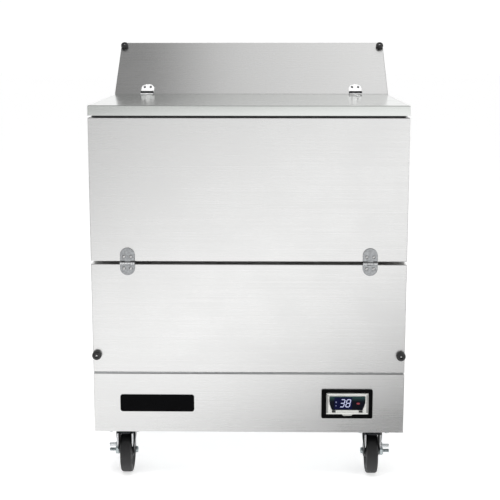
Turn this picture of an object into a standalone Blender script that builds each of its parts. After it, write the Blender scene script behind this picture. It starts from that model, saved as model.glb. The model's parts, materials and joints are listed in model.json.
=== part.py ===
"""Single-access school milk cooler: an insulated stainless cabinet on four casters,
with a lift-up top lid that folds back onto a sloped rear hood, and a drop-front door
that folds down onto the lower front panel. Metres, +Z up, the front faces -Y, and the
origin is on the floor under the middle of the object's box."""

import math

import bmesh
import bpy
from mathutils import Matrix, Vector

# ---------------------------------------------------------------- driving dimensions, millimetres
WIDTH = 863.6            # cabinet width, 34 in
DEPTH = 851.0            # front face to rear face, 33.5 in
BUMPER_PROUD = 16.0      # how far a bumper stands off its panel
SHEET = 1.2              # stainless sheet
GAP = 0.3                # clearance between pieces that touch
FRONT = -(DEPTH - BUMPER_PROUD) / 2   # Y of the front face
HALF = WIDTH / 2

Z_BOTTOM = 152.4         # underside of the cabinet, on 6 in casters
Z_BASE_TOP = 321.0       # base front panel, top edge
Z_LOW_BOTTOM = 325.2     # lower front panel, bottom edge
Z_LOW_TOP = 631.5        # lower front panel, top edge
Z_DOOR_BOTTOM = 639.4    # drop door
Z_DOOR_TOP = 1031.3
Z_LID_BOTTOM = 1037.0    # lid skirt
Z_LID_TOP = 1064.3
Z_HOOD = 1222.0          # flat top of the rear hood
U_FOOT = 543.0           # foot of the hood's slope, behind the front face
U_SLOPE_TOP = 737.0      # top of the slope
U_LID_REAR = 541.0       # rear edge of the lid
SLOPE = math.atan2(Z_HOOD - Z_LID_TOP, U_SLOPE_TOP - U_FOOT)

WALL_FRONT = 57.5        # depth of the front panels' returns
DOOR_PAN = 44.0          # depth of the door's outer pan
LINER_X = 381.8          # inside of the liner, from the middle
LINER_T = 1.5
CAVITY = [(63.0, 362.0), (63.0, 665.0), (63.0, 1029.0), (503.0, 1029.0), (503.0, 991.0),
          (516.0, 991.0), (740.0, 1173.0), (805.0, 1173.0), (805.0, 362.0)]

HINGE_X = 331.0          # butterfly hinges, from the middle
HINGE_W = 40.6
HINGE_UP = 42.0          # tall leaf
HINGE_DOWN = 34.6        # short leaf
HINGE_T = 2.5
HINGE_AXIS = 5.0         # knuckle axis off the surface
KNUCKLE_R = 4.2
PIN_R = 1.9
DOOR_AXIS_Z = 635.5

BUMPER_R = 13.0
DOOR_REST_X, DOOR_REST_Z = 420.0, 375.0
LID_REST_X, LID_REST_DOWN = 420.5, 20.0   # from the middle; below the slope's top edge, along it
LID_REST_R, LID_REST_PROUD = 12.0, 13.0

PLATE_W, PLATE_H, PLATE_R = 206.0, 49.0, 7.0
PLATE_X, PLATE_Z = -255.0, 236.0
BEZEL_W, BEZEL_H, BEZEL_PROUD = 142.0, 83.0, 6.0
BEZEL_X, BEZEL_Z = 273.5, 236.6

WHEEL_R, WHEEL_W = 63.5, 32.0
CASTER_X = 351.0
CASTER_U = (54.0, 740.0)   # swivel axes behind the front face, front and rear
TRAIL = 37.0

MM = 0.001

# ---------------------------------------------------------------- scene and collections
for old in list(bpy.data.objects):
    bpy.data.objects.remove(old, do_unlink=True)
PARTS = bpy.data.collections.new("milk_cooler")
CUTTERS = bpy.data.collections.new("milk_cooler_cutters")
bpy.context.scene.collection.children.link(PARTS)
bpy.context.scene.collection.children.link(CUTTERS)

FINISH = {
    "stainless": ((0.62, 0.62, 0.60), 0.32, 1.0),
    "aluminium": ((0.55, 0.56, 0.57), 0.38, 1.0),
    "galvanised": ((0.48, 0.50, 0.51), 0.48, 1.0),
    "chrome": ((0.80, 0.80, 0.80), 0.12, 1.0),
    "zinc": ((0.55, 0.56, 0.57), 0.35, 1.0),
    "black_plastic": ((0.012, 0.012, 0.013), 0.38, 0.0),
    "black_gloss": ((0.006, 0.007, 0.012), 0.10, 0.0),
    "black_paint": ((0.020, 0.020, 0.022), 0.30, 0.0),
    "rubber": ((0.018, 0.018, 0.019), 0.62, 0.0),
    "tread": ((0.028, 0.028, 0.030), 0.50, 0.0),
    "gasket": ((0.05, 0.05, 0.055), 0.60, 0.0),
    "foam": ((0.78, 0.68, 0.42), 0.90, 0.0),
    "copper": ((0.72, 0.35, 0.20), 0.30, 1.0),
    "white_plastic": ((0.72, 0.72, 0.70), 0.45, 0.0),
    "wire_white": ((0.70, 0.70, 0.68), 0.50, 0.0),
}


def finish(obj, kind):
    """The object's own Principled material."""
    colour, rough, metal = FINISH[kind]
    mat = bpy.data.materials.new(obj.name + "_" + kind)
    mat.use_nodes = True
    shader = mat.node_tree.nodes["Principled BSDF"]
    shader.inputs["Base Color"].default_value = (*colour, 1.0)
    shader.inputs["Roughness"].default_value = rough
    shader.inputs["Metallic"].default_value = metal
    obj.data.materials.clear()
    obj.data.materials.append(mat)
    return obj


def world(x, u, z):
    """A point from millimetres across, behind the front face and above the floor."""
    return Vector((x * MM, (FRONT + u) * MM, z * MM))


def own(name, bm, place=(0, 0, 0), cutter=False):
    """A mesh object from a bmesh whose points are in world metres, with its origin at place."""
    bmesh.ops.recalc_face_normals(bm, faces=bm.faces)
    shift = Vector(place)
    for v in bm.verts:
        v.co -= shift
    mesh = bpy.data.meshes.new(name)
    bm.to_mesh(mesh)
    bm.free()
    obj = bpy.data.objects.new(name, mesh)
    obj.location = shift
    (CUTTERS if cutter else PARTS).objects.link(obj)
    if cutter:
        obj.hide_render = True
        obj.display_type = "WIRE"
    return obj


def box_bm(x0, x1, u0, u1, z0, z1):
    bm = bmesh.new()
    bmesh.ops.create_cube(bm, size=1.0)
    lo, hi = world(x0, u0, z0), world(x1, u1, z1)
    size, mid = hi - lo, (hi + lo) / 2
    for v in bm.verts:
        v.co = Vector((v.co.x * size.x, v.co.y * size.y, v.co.z * size.z)) + mid
    return bm


def box(name, x0, x1, u0, u1, z0, z1, cutter=False, place=(0, 0, 0), round_mm=0.0, segments=2):
    obj = own(name, box_bm(x0, x1, u0, u1, z0, z1), place, cutter)
    if round_mm:
        bevel(obj, round_mm, segments)
    return obj


def bevel(obj, width, segments=2, angle=30):
    mod = obj.modifiers.new("Bevel", "BEVEL")
    mod.width = width * MM
    mod.segments = segments
    mod.limit_method = "ANGLE"
    mod.angle_limit = math.radians(angle)
    return mod


def tray(name, x0, x1, u0, u1, z0, z1, open_sides, thickness=SHEET, round_mm=1.8, segments=2):
    """A folded sheet: a box with some faces taken off, its edges rounded, then thickened inwards."""
    bm = box_bm(x0, x1, u0, u1, z0, z1)
    bm.faces.ensure_lookup_table()
    gone = []
    for f in bm.faces:
        f.normal_update()
        for side in open_sides:
            if (f.normal - Vector(side)).length < 0.01:
                gone.append(f)
    bmesh.ops.delete(bm, geom=gone, context="FACES_ONLY")
    mesh = bpy.data.meshes.new(name)
    bm.to_mesh(mesh)
    bm.free()
    obj = bpy.data.objects.new(name, mesh)
    PARTS.objects.link(obj)
    if round_mm:
        bevel(obj, round_mm, segments)
    solid = obj.modifiers.new("Solidify", "SOLIDIFY")
    solid.thickness = thickness * MM
    solid.offset = -1.0
    solid.use_even_offset = True
    return obj


def cylinder(name, centre, axis, radius, length, sides=24, cutter=False, place=(0, 0, 0)):
    bm = bmesh.new()
    bmesh.ops.create_cone(bm, cap_ends=True, segments=sides, radius1=radius * MM,
                          radius2=radius * MM, depth=length * MM)
    turn = Vector((0, 0, 1)).rotation_difference(Vector(axis)).to_matrix().to_4x4()
    bmesh.ops.transform(bm, matrix=Matrix.Translation(centre) @ turn, verts=bm.verts)
    return own(name, bm, place, cutter)


def outline_mesh(loops, half_mm, matrix):
    """A flat outline (and its holes) as a filled 2D curve, extruded half_mm each way, as a closed mesh."""
    curve = bpy.data.curves.new("outline", "CURVE")
    curve.dimensions = "2D"
    curve.fill_mode = "BOTH"
    curve.extrude = half_mm * MM
    for loop in loops:
        spline = curve.splines.new("POLY")
        spline.points.add(len(loop) - 1)
        for point, (a, b) in zip(spline.points, loop):
            point.co = (a * MM, b * MM, 0, 1)
        spline.use_cyclic_u = True
    guide = bpy.data.objects.new("outline", curve)
    bpy.context.scene.collection.objects.link(guide)
    graph = bpy.context.evaluated_depsgraph_get()
    graph.update()
    mesh = bpy.data.meshes.new_from_object(guide.evaluated_get(graph))
    bpy.data.objects.remove(guide, do_unlink=True)
    bm = bmesh.new()
    bm.from_mesh(mesh)
    bpy.data.meshes.remove(mesh)
    bmesh.ops.remove_doubles(bm, verts=bm.verts, dist=1e-6)
    bmesh.ops.transform(bm, matrix=matrix, verts=bm.verts)
    return bm


# curve X, Y to world: across the front view, the side view and the plan
FRONT_VIEW = Matrix(((1, 0, 0, 0), (0, 0, -1, 0), (0, 1, 0, 0), (0, 0, 0, 1)))
SIDE_VIEW = Matrix(((0, 0, 1, 0), (1, 0, 0, 0), (0, 1, 0, 0), (0, 0, 0, 1)))
PLAN_VIEW = Matrix.Identity(4)


def slab_front(name, loops, u0, u1, cutter=False, place=(0, 0, 0)):
    """An outline in (x, z), from u0 to u1 behind the front face."""
    m = Matrix.Translation(world(0, (u0 + u1) / 2, 0)) @ FRONT_VIEW
    return own(name, outline_mesh(loops, abs(u1 - u0) / 2, m), place, cutter)


def slab_side(name, loops, x0, x1, cutter=False, place=(0, 0, 0)):
    """An outline in (u, z), from x0 to x1."""
    m = Matrix.Translation(world((x0 + x1) / 2, 0, 0)) @ SIDE_VIEW
    return own(name, outline_mesh(loops, abs(x1 - x0) / 2, m), place, cutter)


def slab_plan(name, loops, z0, z1, cutter=False, place=(0, 0, 0)):
    """An outline in (x, u), from z0 to z1."""
    m = Matrix.Translation(world(0, 0, (z0 + z1) / 2)) @ PLAN_VIEW
    return own(name, outline_mesh(loops, abs(z1 - z0) / 2, m), place, cutter)


def rect(x0, x1, z0, z1, radius=0.0, steps=4):
    """A rectangle's outline, its corners rounded."""
    if not radius:
        return [(x0, z0), (x1, z0), (x1, z1), (x0, z1)]
    points = []
    for cx, cz, start in ((x1 - radius, z0 + radius, -90), (x1 - radius, z1 - radius, 0),
                          (x0 + radius, z1 - radius, 90), (x0 + radius, z0 + radius, 180)):
        for k in range(steps + 1):
            a = math.radians(start + 90 * k / steps)
            points.append((cx + radius * math.cos(a), cz + radius * math.sin(a)))
    return points


def offset(points, by):
    """A polygon's outline moved outwards by a distance, corners mitred; the polygon runs clockwise or not."""
    area = sum(a[0] * b[1] - b[0] * a[1] for a, b in zip(points, points[1:] + points[:1]))
    turn = 1 if area > 0 else -1
    out = []
    for before, at, after in zip(points[-1:] + points[:-1], points, points[1:] + points[:1]):
        d1 = Vector((at[0] - before[0], at[1] - before[1])).normalized()
        d2 = Vector((after[0] - at[0], after[1] - at[1])).normalized()
        n1 = Vector((d1.y, -d1.x)) * turn
        n2 = Vector((d2.y, -d2.x)) * turn
        mitre = (n1 + n2) / (1 + n1.dot(n2))
        out.append((at[0] + mitre.x * by, at[1] + mitre.y * by))
    return out


def lathe(name, profile, steps, place, axis, cutter=False, closed=False):
    """A turned piece: (radius, height) points down its outer side, turned about Z with Screw, then aimed along axis."""
    mesh = bpy.data.meshes.new(name)
    verts = [(r * MM, 0, h * MM) for r, h in profile]
    edges = [(k, k + 1) for k in range(len(verts) - 1)]
    if closed:
        edges.append((len(verts) - 1, 0))
    mesh.from_pydata(verts, edges, [])
    obj = bpy.data.objects.new(name, mesh)
    screw = obj.modifiers.new("Screw", "SCREW")
    screw.axis = "Z"
    screw.angle = 2 * math.pi
    screw.steps = steps
    screw.render_steps = steps
    screw.use_merge_vertices = True
    screw.merge_threshold = 0.00001
    screw.use_smooth_shade = True
    obj.location = place
    obj.rotation_mode = "QUATERNION"
    obj.rotation_quaternion = Vector((0, 0, 1)).rotation_difference(Vector(axis))
    (CUTTERS if cutter else PARTS).objects.link(obj)
    if cutter:
        obj.hide_render = True
        obj.display_type = "WIRE"
    return obj


def boolean(obj, other, operation):
    mod = obj.modifiers.new(operation.title(), "BOOLEAN")
    mod.operation = operation
    mod.solver = "EXACT"
    mod.object = other
    return obj


def cut(obj, *others):
    for other in others:
        boolean(obj, other, "DIFFERENCE")
    return obj


def join(obj, *others):
    """Union with pieces that live in the cutters' collection."""
    for other in others:
        if other.name in PARTS.objects:
            PARTS.objects.unlink(other)
            CUTTERS.objects.link(other)
        other.hide_render = True
        other.display_type = "WIRE"
        boolean(obj, other, "UNION")
    return obj


def repeat(obj, count, step):
    """Copies in a row, kept apart."""
    mod = obj.modifiers.new("Array", "ARRAY")
    mod.use_relative_offset = False
    mod.use_constant_offset = True
    mod.constant_offset_displace = Vector(step) * MM
    mod.count = count
    mod.use_merge_vertices = False
    mod.merge_threshold = 0.00001
    return obj


def smooth(obj, degrees=35):
    obj.data.shade_smooth()
    obj.data.set_sharp_from_angle(angle=math.radians(degrees))
    return obj


def empty(name, place):
    """A guide on a joint's axis, that the moving pieces are parented to."""
    mark = bpy.data.objects.new(name, None)
    mark.location = place
    mark.empty_display_size = 0.03
    PARTS.objects.link(mark)
    return mark


def hang(parent, *pieces):
    """Parents pieces and leaves them where they are."""
    for piece in pieces:
        piece.parent = parent
        piece.location = piece.location - parent.location
    return pieces


def filleted(points, radius, steps=3):
    """A route of straight runs with each corner rounded."""
    points = [Vector(p) for p in points]
    out = [points[0]]
    for a, b, c in zip(points, points[1:], points[2:]):
        r = min(radius, (b - a).length * 0.45, (c - b).length * 0.45)
        p, q = b + (a - b).normalized() * r, b + (c - b).normalized() * r
        for k in range(steps + 1):
            t = k / steps
            out.append(p * (1 - t) ** 2 + b * 2 * t * (1 - t) + q * t ** 2)
    out.append(points[-1])
    return out


def tube_mesh(name, route, radius, cutter=False):
    """A pipe along a route, as a closed mesh."""
    curve = bpy.data.curves.new(name, "CURVE")
    curve.dimensions = "3D"
    curve.bevel_depth = radius * MM
    curve.bevel_resolution = 2
    curve.use_fill_caps = True
    spline = curve.splines.new("POLY")
    spline.points.add(len(route) - 1)
    for point, co in zip(spline.points, route):
        point.co = (*co, 1)
    guide = bpy.data.objects.new(name + "_route", curve)
    bpy.context.scene.collection.objects.link(guide)
    graph = bpy.context.evaluated_depsgraph_get()
    graph.update()
    mesh = bpy.data.meshes.new_from_object(guide.evaluated_get(graph))
    bpy.data.objects.remove(guide, do_unlink=True)
    bm = bmesh.new()
    bm.from_mesh(mesh)
    bpy.data.meshes.remove(mesh)
    bmesh.ops.remove_doubles(bm, verts=bm.verts, dist=1e-6)
    return own(name, bm, (0, 0, 0), cutter)


def dish(name, outer, inner, depth, thickness, matrix):
    """A pressed pan: a flat flange round a well. Outer is half sizes; inner is half sizes and its centre."""
    bm = bmesh.new()
    bmesh.ops.create_grid(bm, x_segments=3, y_segments=3, size=1.0)
    (ax, ay), (bx, by, cx, cy) = outer, inner
    across, along = (-ax, cx - bx, cx + bx, ax), (-ay, cy - by, cy + by, ay)
    for v in bm.verts:
        v.co = Vector((across[round((v.co.x + 1) * 1.5)] * MM, along[round((v.co.y + 1) * 1.5)] * MM, 0))
    middle = [f for f in bm.faces if all(abs(v.co.x) < ax * MM - 1e-5 and abs(v.co.y) < ay * MM - 1e-5 for v in f.verts)]
    made = bmesh.ops.extrude_face_region(bm, geom=middle)
    pushed = [g for g in made["geom"] if isinstance(g, bmesh.types.BMVert)]
    left = [f for f in middle if f.is_valid]
    if left:
        bmesh.ops.delete(bm, geom=left, context="FACES_ONLY")
    bmesh.ops.translate(bm, verts=pushed, vec=Vector((0, 0, -depth * MM)))
    bmesh.ops.recalc_face_normals(bm, faces=bm.faces)
    bmesh.ops.transform(bm, matrix=matrix, verts=bm.verts)
    mesh = bpy.data.meshes.new(name)
    bm.to_mesh(mesh)
    bm.free()
    obj = bpy.data.objects.new(name, mesh)
    PARTS.objects.link(obj)
    solid = obj.modifiers.new("Solidify", "SOLIDIFY")
    solid.thickness = thickness * MM
    solid.offset = 0.0
    solid.use_even_offset = True
    return obj


# ================================================================ cabinet
base_frame = finish(tray("base_frame", -430.2, 430.2, 2.0, 846.8, Z_BOTTOM, 190.0, [(0, 0, 1)],
                         thickness=2.5, round_mm=0), "galvanised")

compartment_deck = finish(box("compartment_deck", -430.2, 430.2, 2.0, 846.8, 322.0, 324.0), "galvanised")

SIDE_PROFILE = [(58.2, Z_BOTTOM), (58.2, 1030.9), (U_FOOT, 1030.9), (U_FOOT, Z_LID_TOP),
                (U_SLOPE_TOP, Z_HOOD), (DEPTH, Z_HOOD), (DEPTH, Z_BOTTOM)]
side_panel_left = finish(slab_side("side_panel_left", [SIDE_PROFILE], -HALF, -HALF + SHEET), "stainless")
side_panel_right = finish(slab_side("side_panel_right", [SIDE_PROFILE], HALF - SHEET, HALF), "stainless")

rear_panel = finish(box("rear_panel", -430.2, 430.2, 848.0, 849.2, 327.0, 1180.0), "galvanised")

rear_grille = finish(box("rear_grille", -430.2, 430.2, 848.0, 849.2, 155.5, 320.5), "galvanised")
slot = repeat(box("grille_slot", -395.0, -175.0, 840.0, 856.0, 172.0, 180.0, cutter=True), 6, (0, 0, 24.0))
repeat(slot, 3, (285.0, 0, 0))
cut(rear_grille, slot)

front_lower_panel = finish(tray("front_lower_panel", -HALF, HALF, 0.0, WALL_FRONT, Z_LOW_BOTTOM, Z_LOW_TOP,
                                [(0, 1, 0)]), "stainless")

base_front_panel = finish(tray("base_front_panel", -HALF, HALF, 0.0, WALL_FRONT, Z_BOTTOM, Z_BASE_TOP,
                               [(0, 1, 0), (0, 0, -1)]), "stainless")
cut(base_front_panel, box("controller_opening", BEZEL_X - 64.0, BEZEL_X + 64.0, -5.0, 20.0,
                          BEZEL_Z - 35.0, BEZEL_Z + 35.0, cutter=True))


def rear_hood_sheet():
    """The sill that the lid closes on, the slope, the flat top and the rear lip, folded from one sheet."""
    profile = [(505.0, 1014.0), (505.0, 1031.0), (U_FOOT, 1031.0), (U_FOOT, Z_LID_TOP),
               (U_SLOPE_TOP, Z_HOOD), (DEPTH, Z_HOOD), (DEPTH, 1165.0)]
    bm = bmesh.new()
    verts = [bm.verts.new(world(-430.3, u, z)) for u, z in profile]
    edges = [bm.edges.new(pair) for pair in zip(verts, verts[1:])]
    made = bmesh.ops.extrude_edge_only(bm, edges=edges)
    far = [g for g in made["geom"] if isinstance(g, bmesh.types.BMVert)]
    bmesh.ops.translate(bm, verts=far, vec=Vector((860.6 * MM, 0, 0)))
    bmesh.ops.recalc_face_normals(bm, faces=bm.faces)
    top = max(bm.faces, key=lambda f: f.calc_center_median().z)
    top.normal_update()
    if top.normal.z < 0:
        bmesh.ops.reverse_faces(bm, faces=bm.faces)
    mesh = bpy.data.meshes.new("rear_hood")
    bm.to_mesh(mesh)
    bm.free()
    obj = bpy.data.objects.new("rear_hood", mesh)
    PARTS.objects.link(obj)
    bevel(obj, 2.0, 2, 20)
    solid = obj.modifiers.new("Solidify", "SOLIDIFY")
    solid.thickness = SHEET * MM
    solid.offset = -1.0
    solid.use_even_offset = True
    return obj


rear_hood = finish(rear_hood_sheet(), "stainless")


def liner_shell():
    """The cavity's walls, floor, back and sloped ceiling, open at the top and at the upper front."""
    bm = outline_mesh([CAVITY], LINER_X, Matrix.Translation(world(0, 0, 0)) @ SIDE_VIEW)
    bmesh.ops.recalc_face_normals(bm, faces=bm.faces)
    gone = []
    front, top = world(0, 63.0, 0).y, 1029.0 * MM
    for f in bm.faces:
        mid = f.calc_center_median()
        if abs(mid.y - front) < 1e-5 and mid.z > 665.0 * MM:
            gone.append(f)
        if abs(mid.z - top) < 1e-5:
            gone.append(f)
    bmesh.ops.delete(bm, geom=gone, context="FACES")
    mesh = bpy.data.meshes.new("inner_liner")
    bm.to_mesh(mesh)
    bm.free()
    obj = bpy.data.objects.new("inner_liner", mesh)
    PARTS.objects.link(obj)
    solid = obj.modifiers.new("Solidify", "SOLIDIFY")
    solid.thickness = LINER_T * MM
    solid.offset = 1.0
    solid.solidify_mode = "NON_MANIFOLD"
    solid.nonmanifold_thickness_mode = "CONSTRAINTS"
    return obj


inner_liner = finish(liner_shell(), "aluminium")

FOAM = [(1.8, 327.0), (1.8, 629.8), (61.4, 629.8), (61.4, 1027.5), (503.9, 1027.5), (503.9, 1013.0),
        (545.5, 1013.0), (545.5, 1063.0), (738.0, 1219.2), (846.5, 1219.2), (846.5, 327.0)]
foam_insulation = finish(slab_side("foam_insulation", [FOAM], -430.0, 430.0), "foam")
cavity_space = [(p[0], 1060.0) if p[1] == 1029.0 else p for p in CAVITY]
cut(foam_insulation, slab_side("cavity_space", [offset(cavity_space, 2.0)], -LINER_X - 2.0, LINER_X + 2.0, cutter=True))

# U-shaped frame round the front opening, with arms along the tops of the side walls
U_FRAME = [(-430.2, 632.0), (430.2, 632.0), (430.2, 1030.9), (383.8, 1030.9), (383.8, 665.0),
           (-383.8, 665.0), (-383.8, 1030.9), (-430.2, 1030.9)]
breaker_frame = finish(slab_front("breaker_frame", [U_FRAME], 58.0, 61.0), "white_plastic")
join(breaker_frame,
     box("rim_left", -430.2, -383.8, 59.0, 503.6, 1027.9, 1030.9, cutter=True),
     box("rim_right", 383.8, 430.2, 59.0, 503.6, 1027.9, 1030.9, cutter=True))

# floor rack: bars front to back on three cross rails
floor_rack = finish(box("floor_rack", -370.0, 370.0, 90.0, 100.0, 362.5, 376.0), "wire_white")
rails = repeat(box("rack_rails", -370.0, 370.0, 375.0, 385.0, 362.5, 376.0, cutter=True), 2, (0, 295.0, 0))
bars = repeat(box("rack_bars", -370.0, -360.0, 80.0, 690.0, 372.0, 382.0, cutter=True), 13, (60.8333, 0, 0))
join(bars, rails)
join(floor_rack, bars)

nameplate = finish(slab_front("nameplate", [rect(PLATE_X - PLATE_W / 2, PLATE_X + PLATE_W / 2,
                                                 PLATE_Z - PLATE_H / 2, PLATE_Z + PLATE_H / 2, PLATE_R, 4)],
                              -1.9, -GAP), "black_paint")

# strain-relief bush in the rear grille, where the supply cord would enter
cord_gland = finish(lathe("cord_gland", [(5.0, 1.2), (9.0, 1.2), (12.0, 0.5), (12.0, -0.4), (8.0, -0.4), (8.0, -14.0), (5.0, -14.0)],
                          16, world(412.0, 849.8, 215.0), (0, 1, 0), closed=True), "black_plastic")
cut(rear_grille, cylinder("gland_hole", world(412.0, 848.6, 215.0), (0, 1, 0), 8.4, 20.0, 16, cutter=True))

# ================================================================ refrigeration
evaporator_coil = finish(box("evaporator_coil", -250.0, 250.0, 745.0, 795.0, 980.0, 1130.0), "aluminium")
cut(evaporator_coil, repeat(box("evaporator_fins", -240.0, -228.0, 740.0, 775.0, 975.0, 1135.0, cutter=True), 20, (24.6, 0, 0)))

evaporator_duct = finish(tray("evaporator_duct", -300.0, 300.0, 720.0, 804.5, 440.0, 1150.0, [(0, 1, 0)],
                              round_mm=0), "aluminium")
cut(evaporator_duct, cylinder("fan_opening", world(0, 720.0, 880.0), (0, 1, 0), 70.0, 30.0, 32, cutter=True),
    repeat(box("air_slots", -260.0, -100.0, 700.0, 740.0, 470.0, 482.0, cutter=True), 3, (180.0, 0, 0)))

evaporator_fan_motor = finish(lathe("evaporator_fan_motor",
                                    [(0, 30.0), (3.0, 30.0), (3.0, 22.0), (27.0, 22.0), (30.0, 18.0), (30.0, -18.0), (27.0, -22.0), (0, -22.0)],
                                    20, world(0, 770.0, 880.0), (0, -1, 0)), "black_paint")
join(evaporator_fan_motor, box("evaporator_motor_bracket", -20.0, 20.0, 783.5, 804.2, 830.0, 930.0, cutter=True))

condenser_coil = finish(box("condenser_coil", -390.0, -90.0, 790.0, 835.0, 158.0, 300.0), "galvanised")
cut(condenser_coil, repeat(box("condenser_fins", -382.0, -372.0, 785.0, 820.0, 166.0, 305.0, cutter=True), 14, (21.0, 0, 0)))

condenser_fan_motor = finish(lathe("condenser_fan_motor",
                                   [(0, 44.0), (3.0, 44.0), (3.0, 32.0), (34.0, 32.0), (38.0, 27.0), (38.0, -27.0), (34.0, -32.0), (0, -32.0)],
                                   20, world(-240.0, 722.0, 232.0), (0, 1, 0)), "black_paint")
join(condenser_fan_motor, box("condenser_motor_foot", -265.0, -215.0, 700.0, 742.0, 155.3, 205.0, cutter=True))


def fan(name, centre, axis, hub_r, tip_r, depth, count, kind):
    """A hub with a blind shaft bore, and twisted blades."""
    hub = lathe(name, [(0, -depth / 2 + 4.0), (3.6, -depth / 2 + 4.0), (3.6, depth / 2), (hub_r, depth / 2), (hub_r, -depth / 2), (0, -depth / 2)],
                16, centre, axis)
    aim = Vector((0, 0, 1)).rotation_difference(Vector(axis)).to_matrix().to_4x4()
    for k in range(count):
        bm = bmesh.new()
        bmesh.ops.create_cube(bm, size=1.0)
        for v in bm.verts:
            v.co = Vector(((hub_r - 3.0) * MM if v.co.x < 0 else tip_r * MM,
                           v.co.y * (0.8 * hub_r if v.co.x < 0 else 1.7 * hub_r) * MM, v.co.z * 1.6 * MM))
            twist = Matrix.Rotation(math.radians(24), 4, "X")
            v.co = twist @ v.co
        turn = Matrix.Rotation(2 * math.pi * k / count, 4, "Z")
        bmesh.ops.transform(bm, matrix=Matrix.Translation(centre) @ aim @ turn, verts=bm.verts)
        join(hub, own(name + "_blade%d" % k, bm, (0, 0, 0), True))
    return finish(hub, kind)


evaporator_fan_blade = fan("evaporator_fan_blade", world(0, 735.0, 880.0), (0, 1, 0), 16.0, 62.0, 16.0, 4, "black_plastic")
condenser_fan_blade = fan("condenser_fan_blade", world(-240.0, 768.0, 232.0), (0, -1, 0), 16.0, 60.0, 16.0, 4, "aluminium")

compressor = finish(lathe("compressor", [(0, 152.0), (30.0, 150.0), (56.0, 140.0), (70.0, 122.0), (75.0, 98.0), (75.0, 62.0),
                                         (78.0, 60.0), (78.0, 54.0), (75.0, 52.0), (74.0, 30.0), (60.0, 12.0), (36.0, 3.0), (0, 0)],
                          18, world(180.0, 640.0, 159.5), (0, 0, 1)), "black_paint")
join(compressor, box("compressor_foot", 80.0, 280.0, 575.0, 705.0, 162.0, 165.0, cutter=True),
     repeat(repeat(cylinder("compressor_grommet", world(95.0, 590.0, 160.3), (0, 0, 1), 10.0, 10.0, 12, cutter=True),
                   2, (170.0, 0, 0)), 2, (0, 100.0, 0)))

PIPE = filleted([world(220.0, 796.0, 1010.0), world(220.0, 826.0, 1010.0), world(220.0, 826.0, 250.0),
                 world(181.0, 760.0, 244.0), world(181.0, 720.0, 244.0)], 0.016)
suction_line = finish(smooth(tube_mesh("suction_line", PIPE, 6.0)), "copper")
pipe_space = tube_mesh("pipe_space", PIPE, 7.5, cutter=True)
for shell in (inner_liner, foam_insulation, compartment_deck):
    cut(shell, pipe_space)

# ================================================================ controller
bezel_body = box("controller_bezel", BEZEL_X - BEZEL_W / 2, BEZEL_X + BEZEL_W / 2, -BEZEL_PROUD, -GAP,
                 BEZEL_Z - BEZEL_H / 2, BEZEL_Z + BEZEL_H / 2)
bevel(bezel_body, 1.6, 2)
join(bezel_body, box("controller_housing", BEZEL_X - 62.0, BEZEL_X + 62.0, -1.1, 55.0, BEZEL_Z - 33.5, BEZEL_Z + 33.5, cutter=True))
FACE_X0, FACE_X1, FACE_Z0, FACE_Z1 = 215.3, 334.0, 205.7, 268.3
cut(bezel_body, box("bezel_recess", FACE_X0, FACE_X1, -12.0, -1.8, FACE_Z0, FACE_Z1, cutter=True),
    slab_front("bezel_notch", [[(256.0, 207.4), (263.5, 201.0), (286.0, 201.0), (293.5, 207.4)]], -11.0, -2.0, cutter=True))
controller_bezel = finish(bezel_body, "black_plastic")

WIN_X0, WIN_X1, WIN_Z0, WIN_Z1 = 224.1, 324.6, 219.0, 258.0


def barrel(x0, x1, z0, z1, bulge, waist, steps=6):
    """A window outline: flat top and bottom, sides that bow out and draw in towards the bottom."""
    points = []
    for k in range(steps + 1):
        t = k / steps
        points.append((x1 - waist * (1 - t) ** 2 + bulge * math.sin(math.pi * t), z0 + (z1 - z0) * t))
    for k in range(steps + 1):
        t = 1 - k / steps
        points.append((x0 + waist * (1 - t) ** 2 - bulge * math.sin(math.pi * t), z0 + (z1 - z0) * t))
    return points


display_window = finish(slab_front("display_window", [barrel(WIN_X0 + 1.0, WIN_X1 - 1.0, WIN_Z0, WIN_Z1, 1.6, 7.0)],
                                   -4.8, -2.1), "black_gloss")

BUTTON_Z, BUTTON_TRAVEL = 214.9, 0.8
buttons = []
for side, bx in (("left", 236.9), ("right", 311.7)):
    key = box("button_" + side, bx - 5.2, bx + 5.2, -4.6, -2.9, BUTTON_Z - 2.9, BUTTON_Z + 2.9,
              place=world(bx, -4.6, BUTTON_Z), round_mm=0.5, segments=1)
    join(key, box("button_stem_" + side, bx - 2.0, bx + 2.0, -3.4, 4.0, BUTTON_Z - 1.3, BUTTON_Z + 1.3, cutter=True))
    cut(bezel_body, box("button_socket_" + side, bx - 2.5, bx + 2.5, -3.0, 6.0, BUTTON_Z - 1.8, BUTTON_Z + 1.8, cutter=True))
    buttons.append(finish(key, "black_plastic"))

# ================================================================ lid
LID_AXIS_U = U_FOOT + HINGE_AXIS / math.cos(SLOPE / 2) * math.cos(math.pi / 2 + SLOPE / 2)
LID_AXIS_Z = Z_LID_TOP + HINGE_AXIS
lid_pivot = empty("lid_pivot", world(0, LID_AXIS_U, LID_AXIS_Z))

lid_outer_pan = finish(tray("lid_outer_pan", -HALF, HALF, 0.0, U_LID_REAR, Z_LID_BOTTOM, Z_LID_TOP, [(0, 0, -1)],
                            round_mm=2.2), "stainless")
lid_inner_pan = finish(dish("lid_inner_pan", (429.6, 268.5), (370.0, 211.0, 0.0, 12.5), 22.0, 1.2,
                            Matrix.Translation(world(0, 270.5, Z_LID_BOTTOM + 1.0))), "aluminium")
lid_gasket = finish(slab_plan("lid_gasket", [rect(-422.8, 422.8, 10.0, 531.0), rect(-404.0, 404.0, 29.0, 512.0)],
                              1031.6, 1036.1), "gasket")

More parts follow.
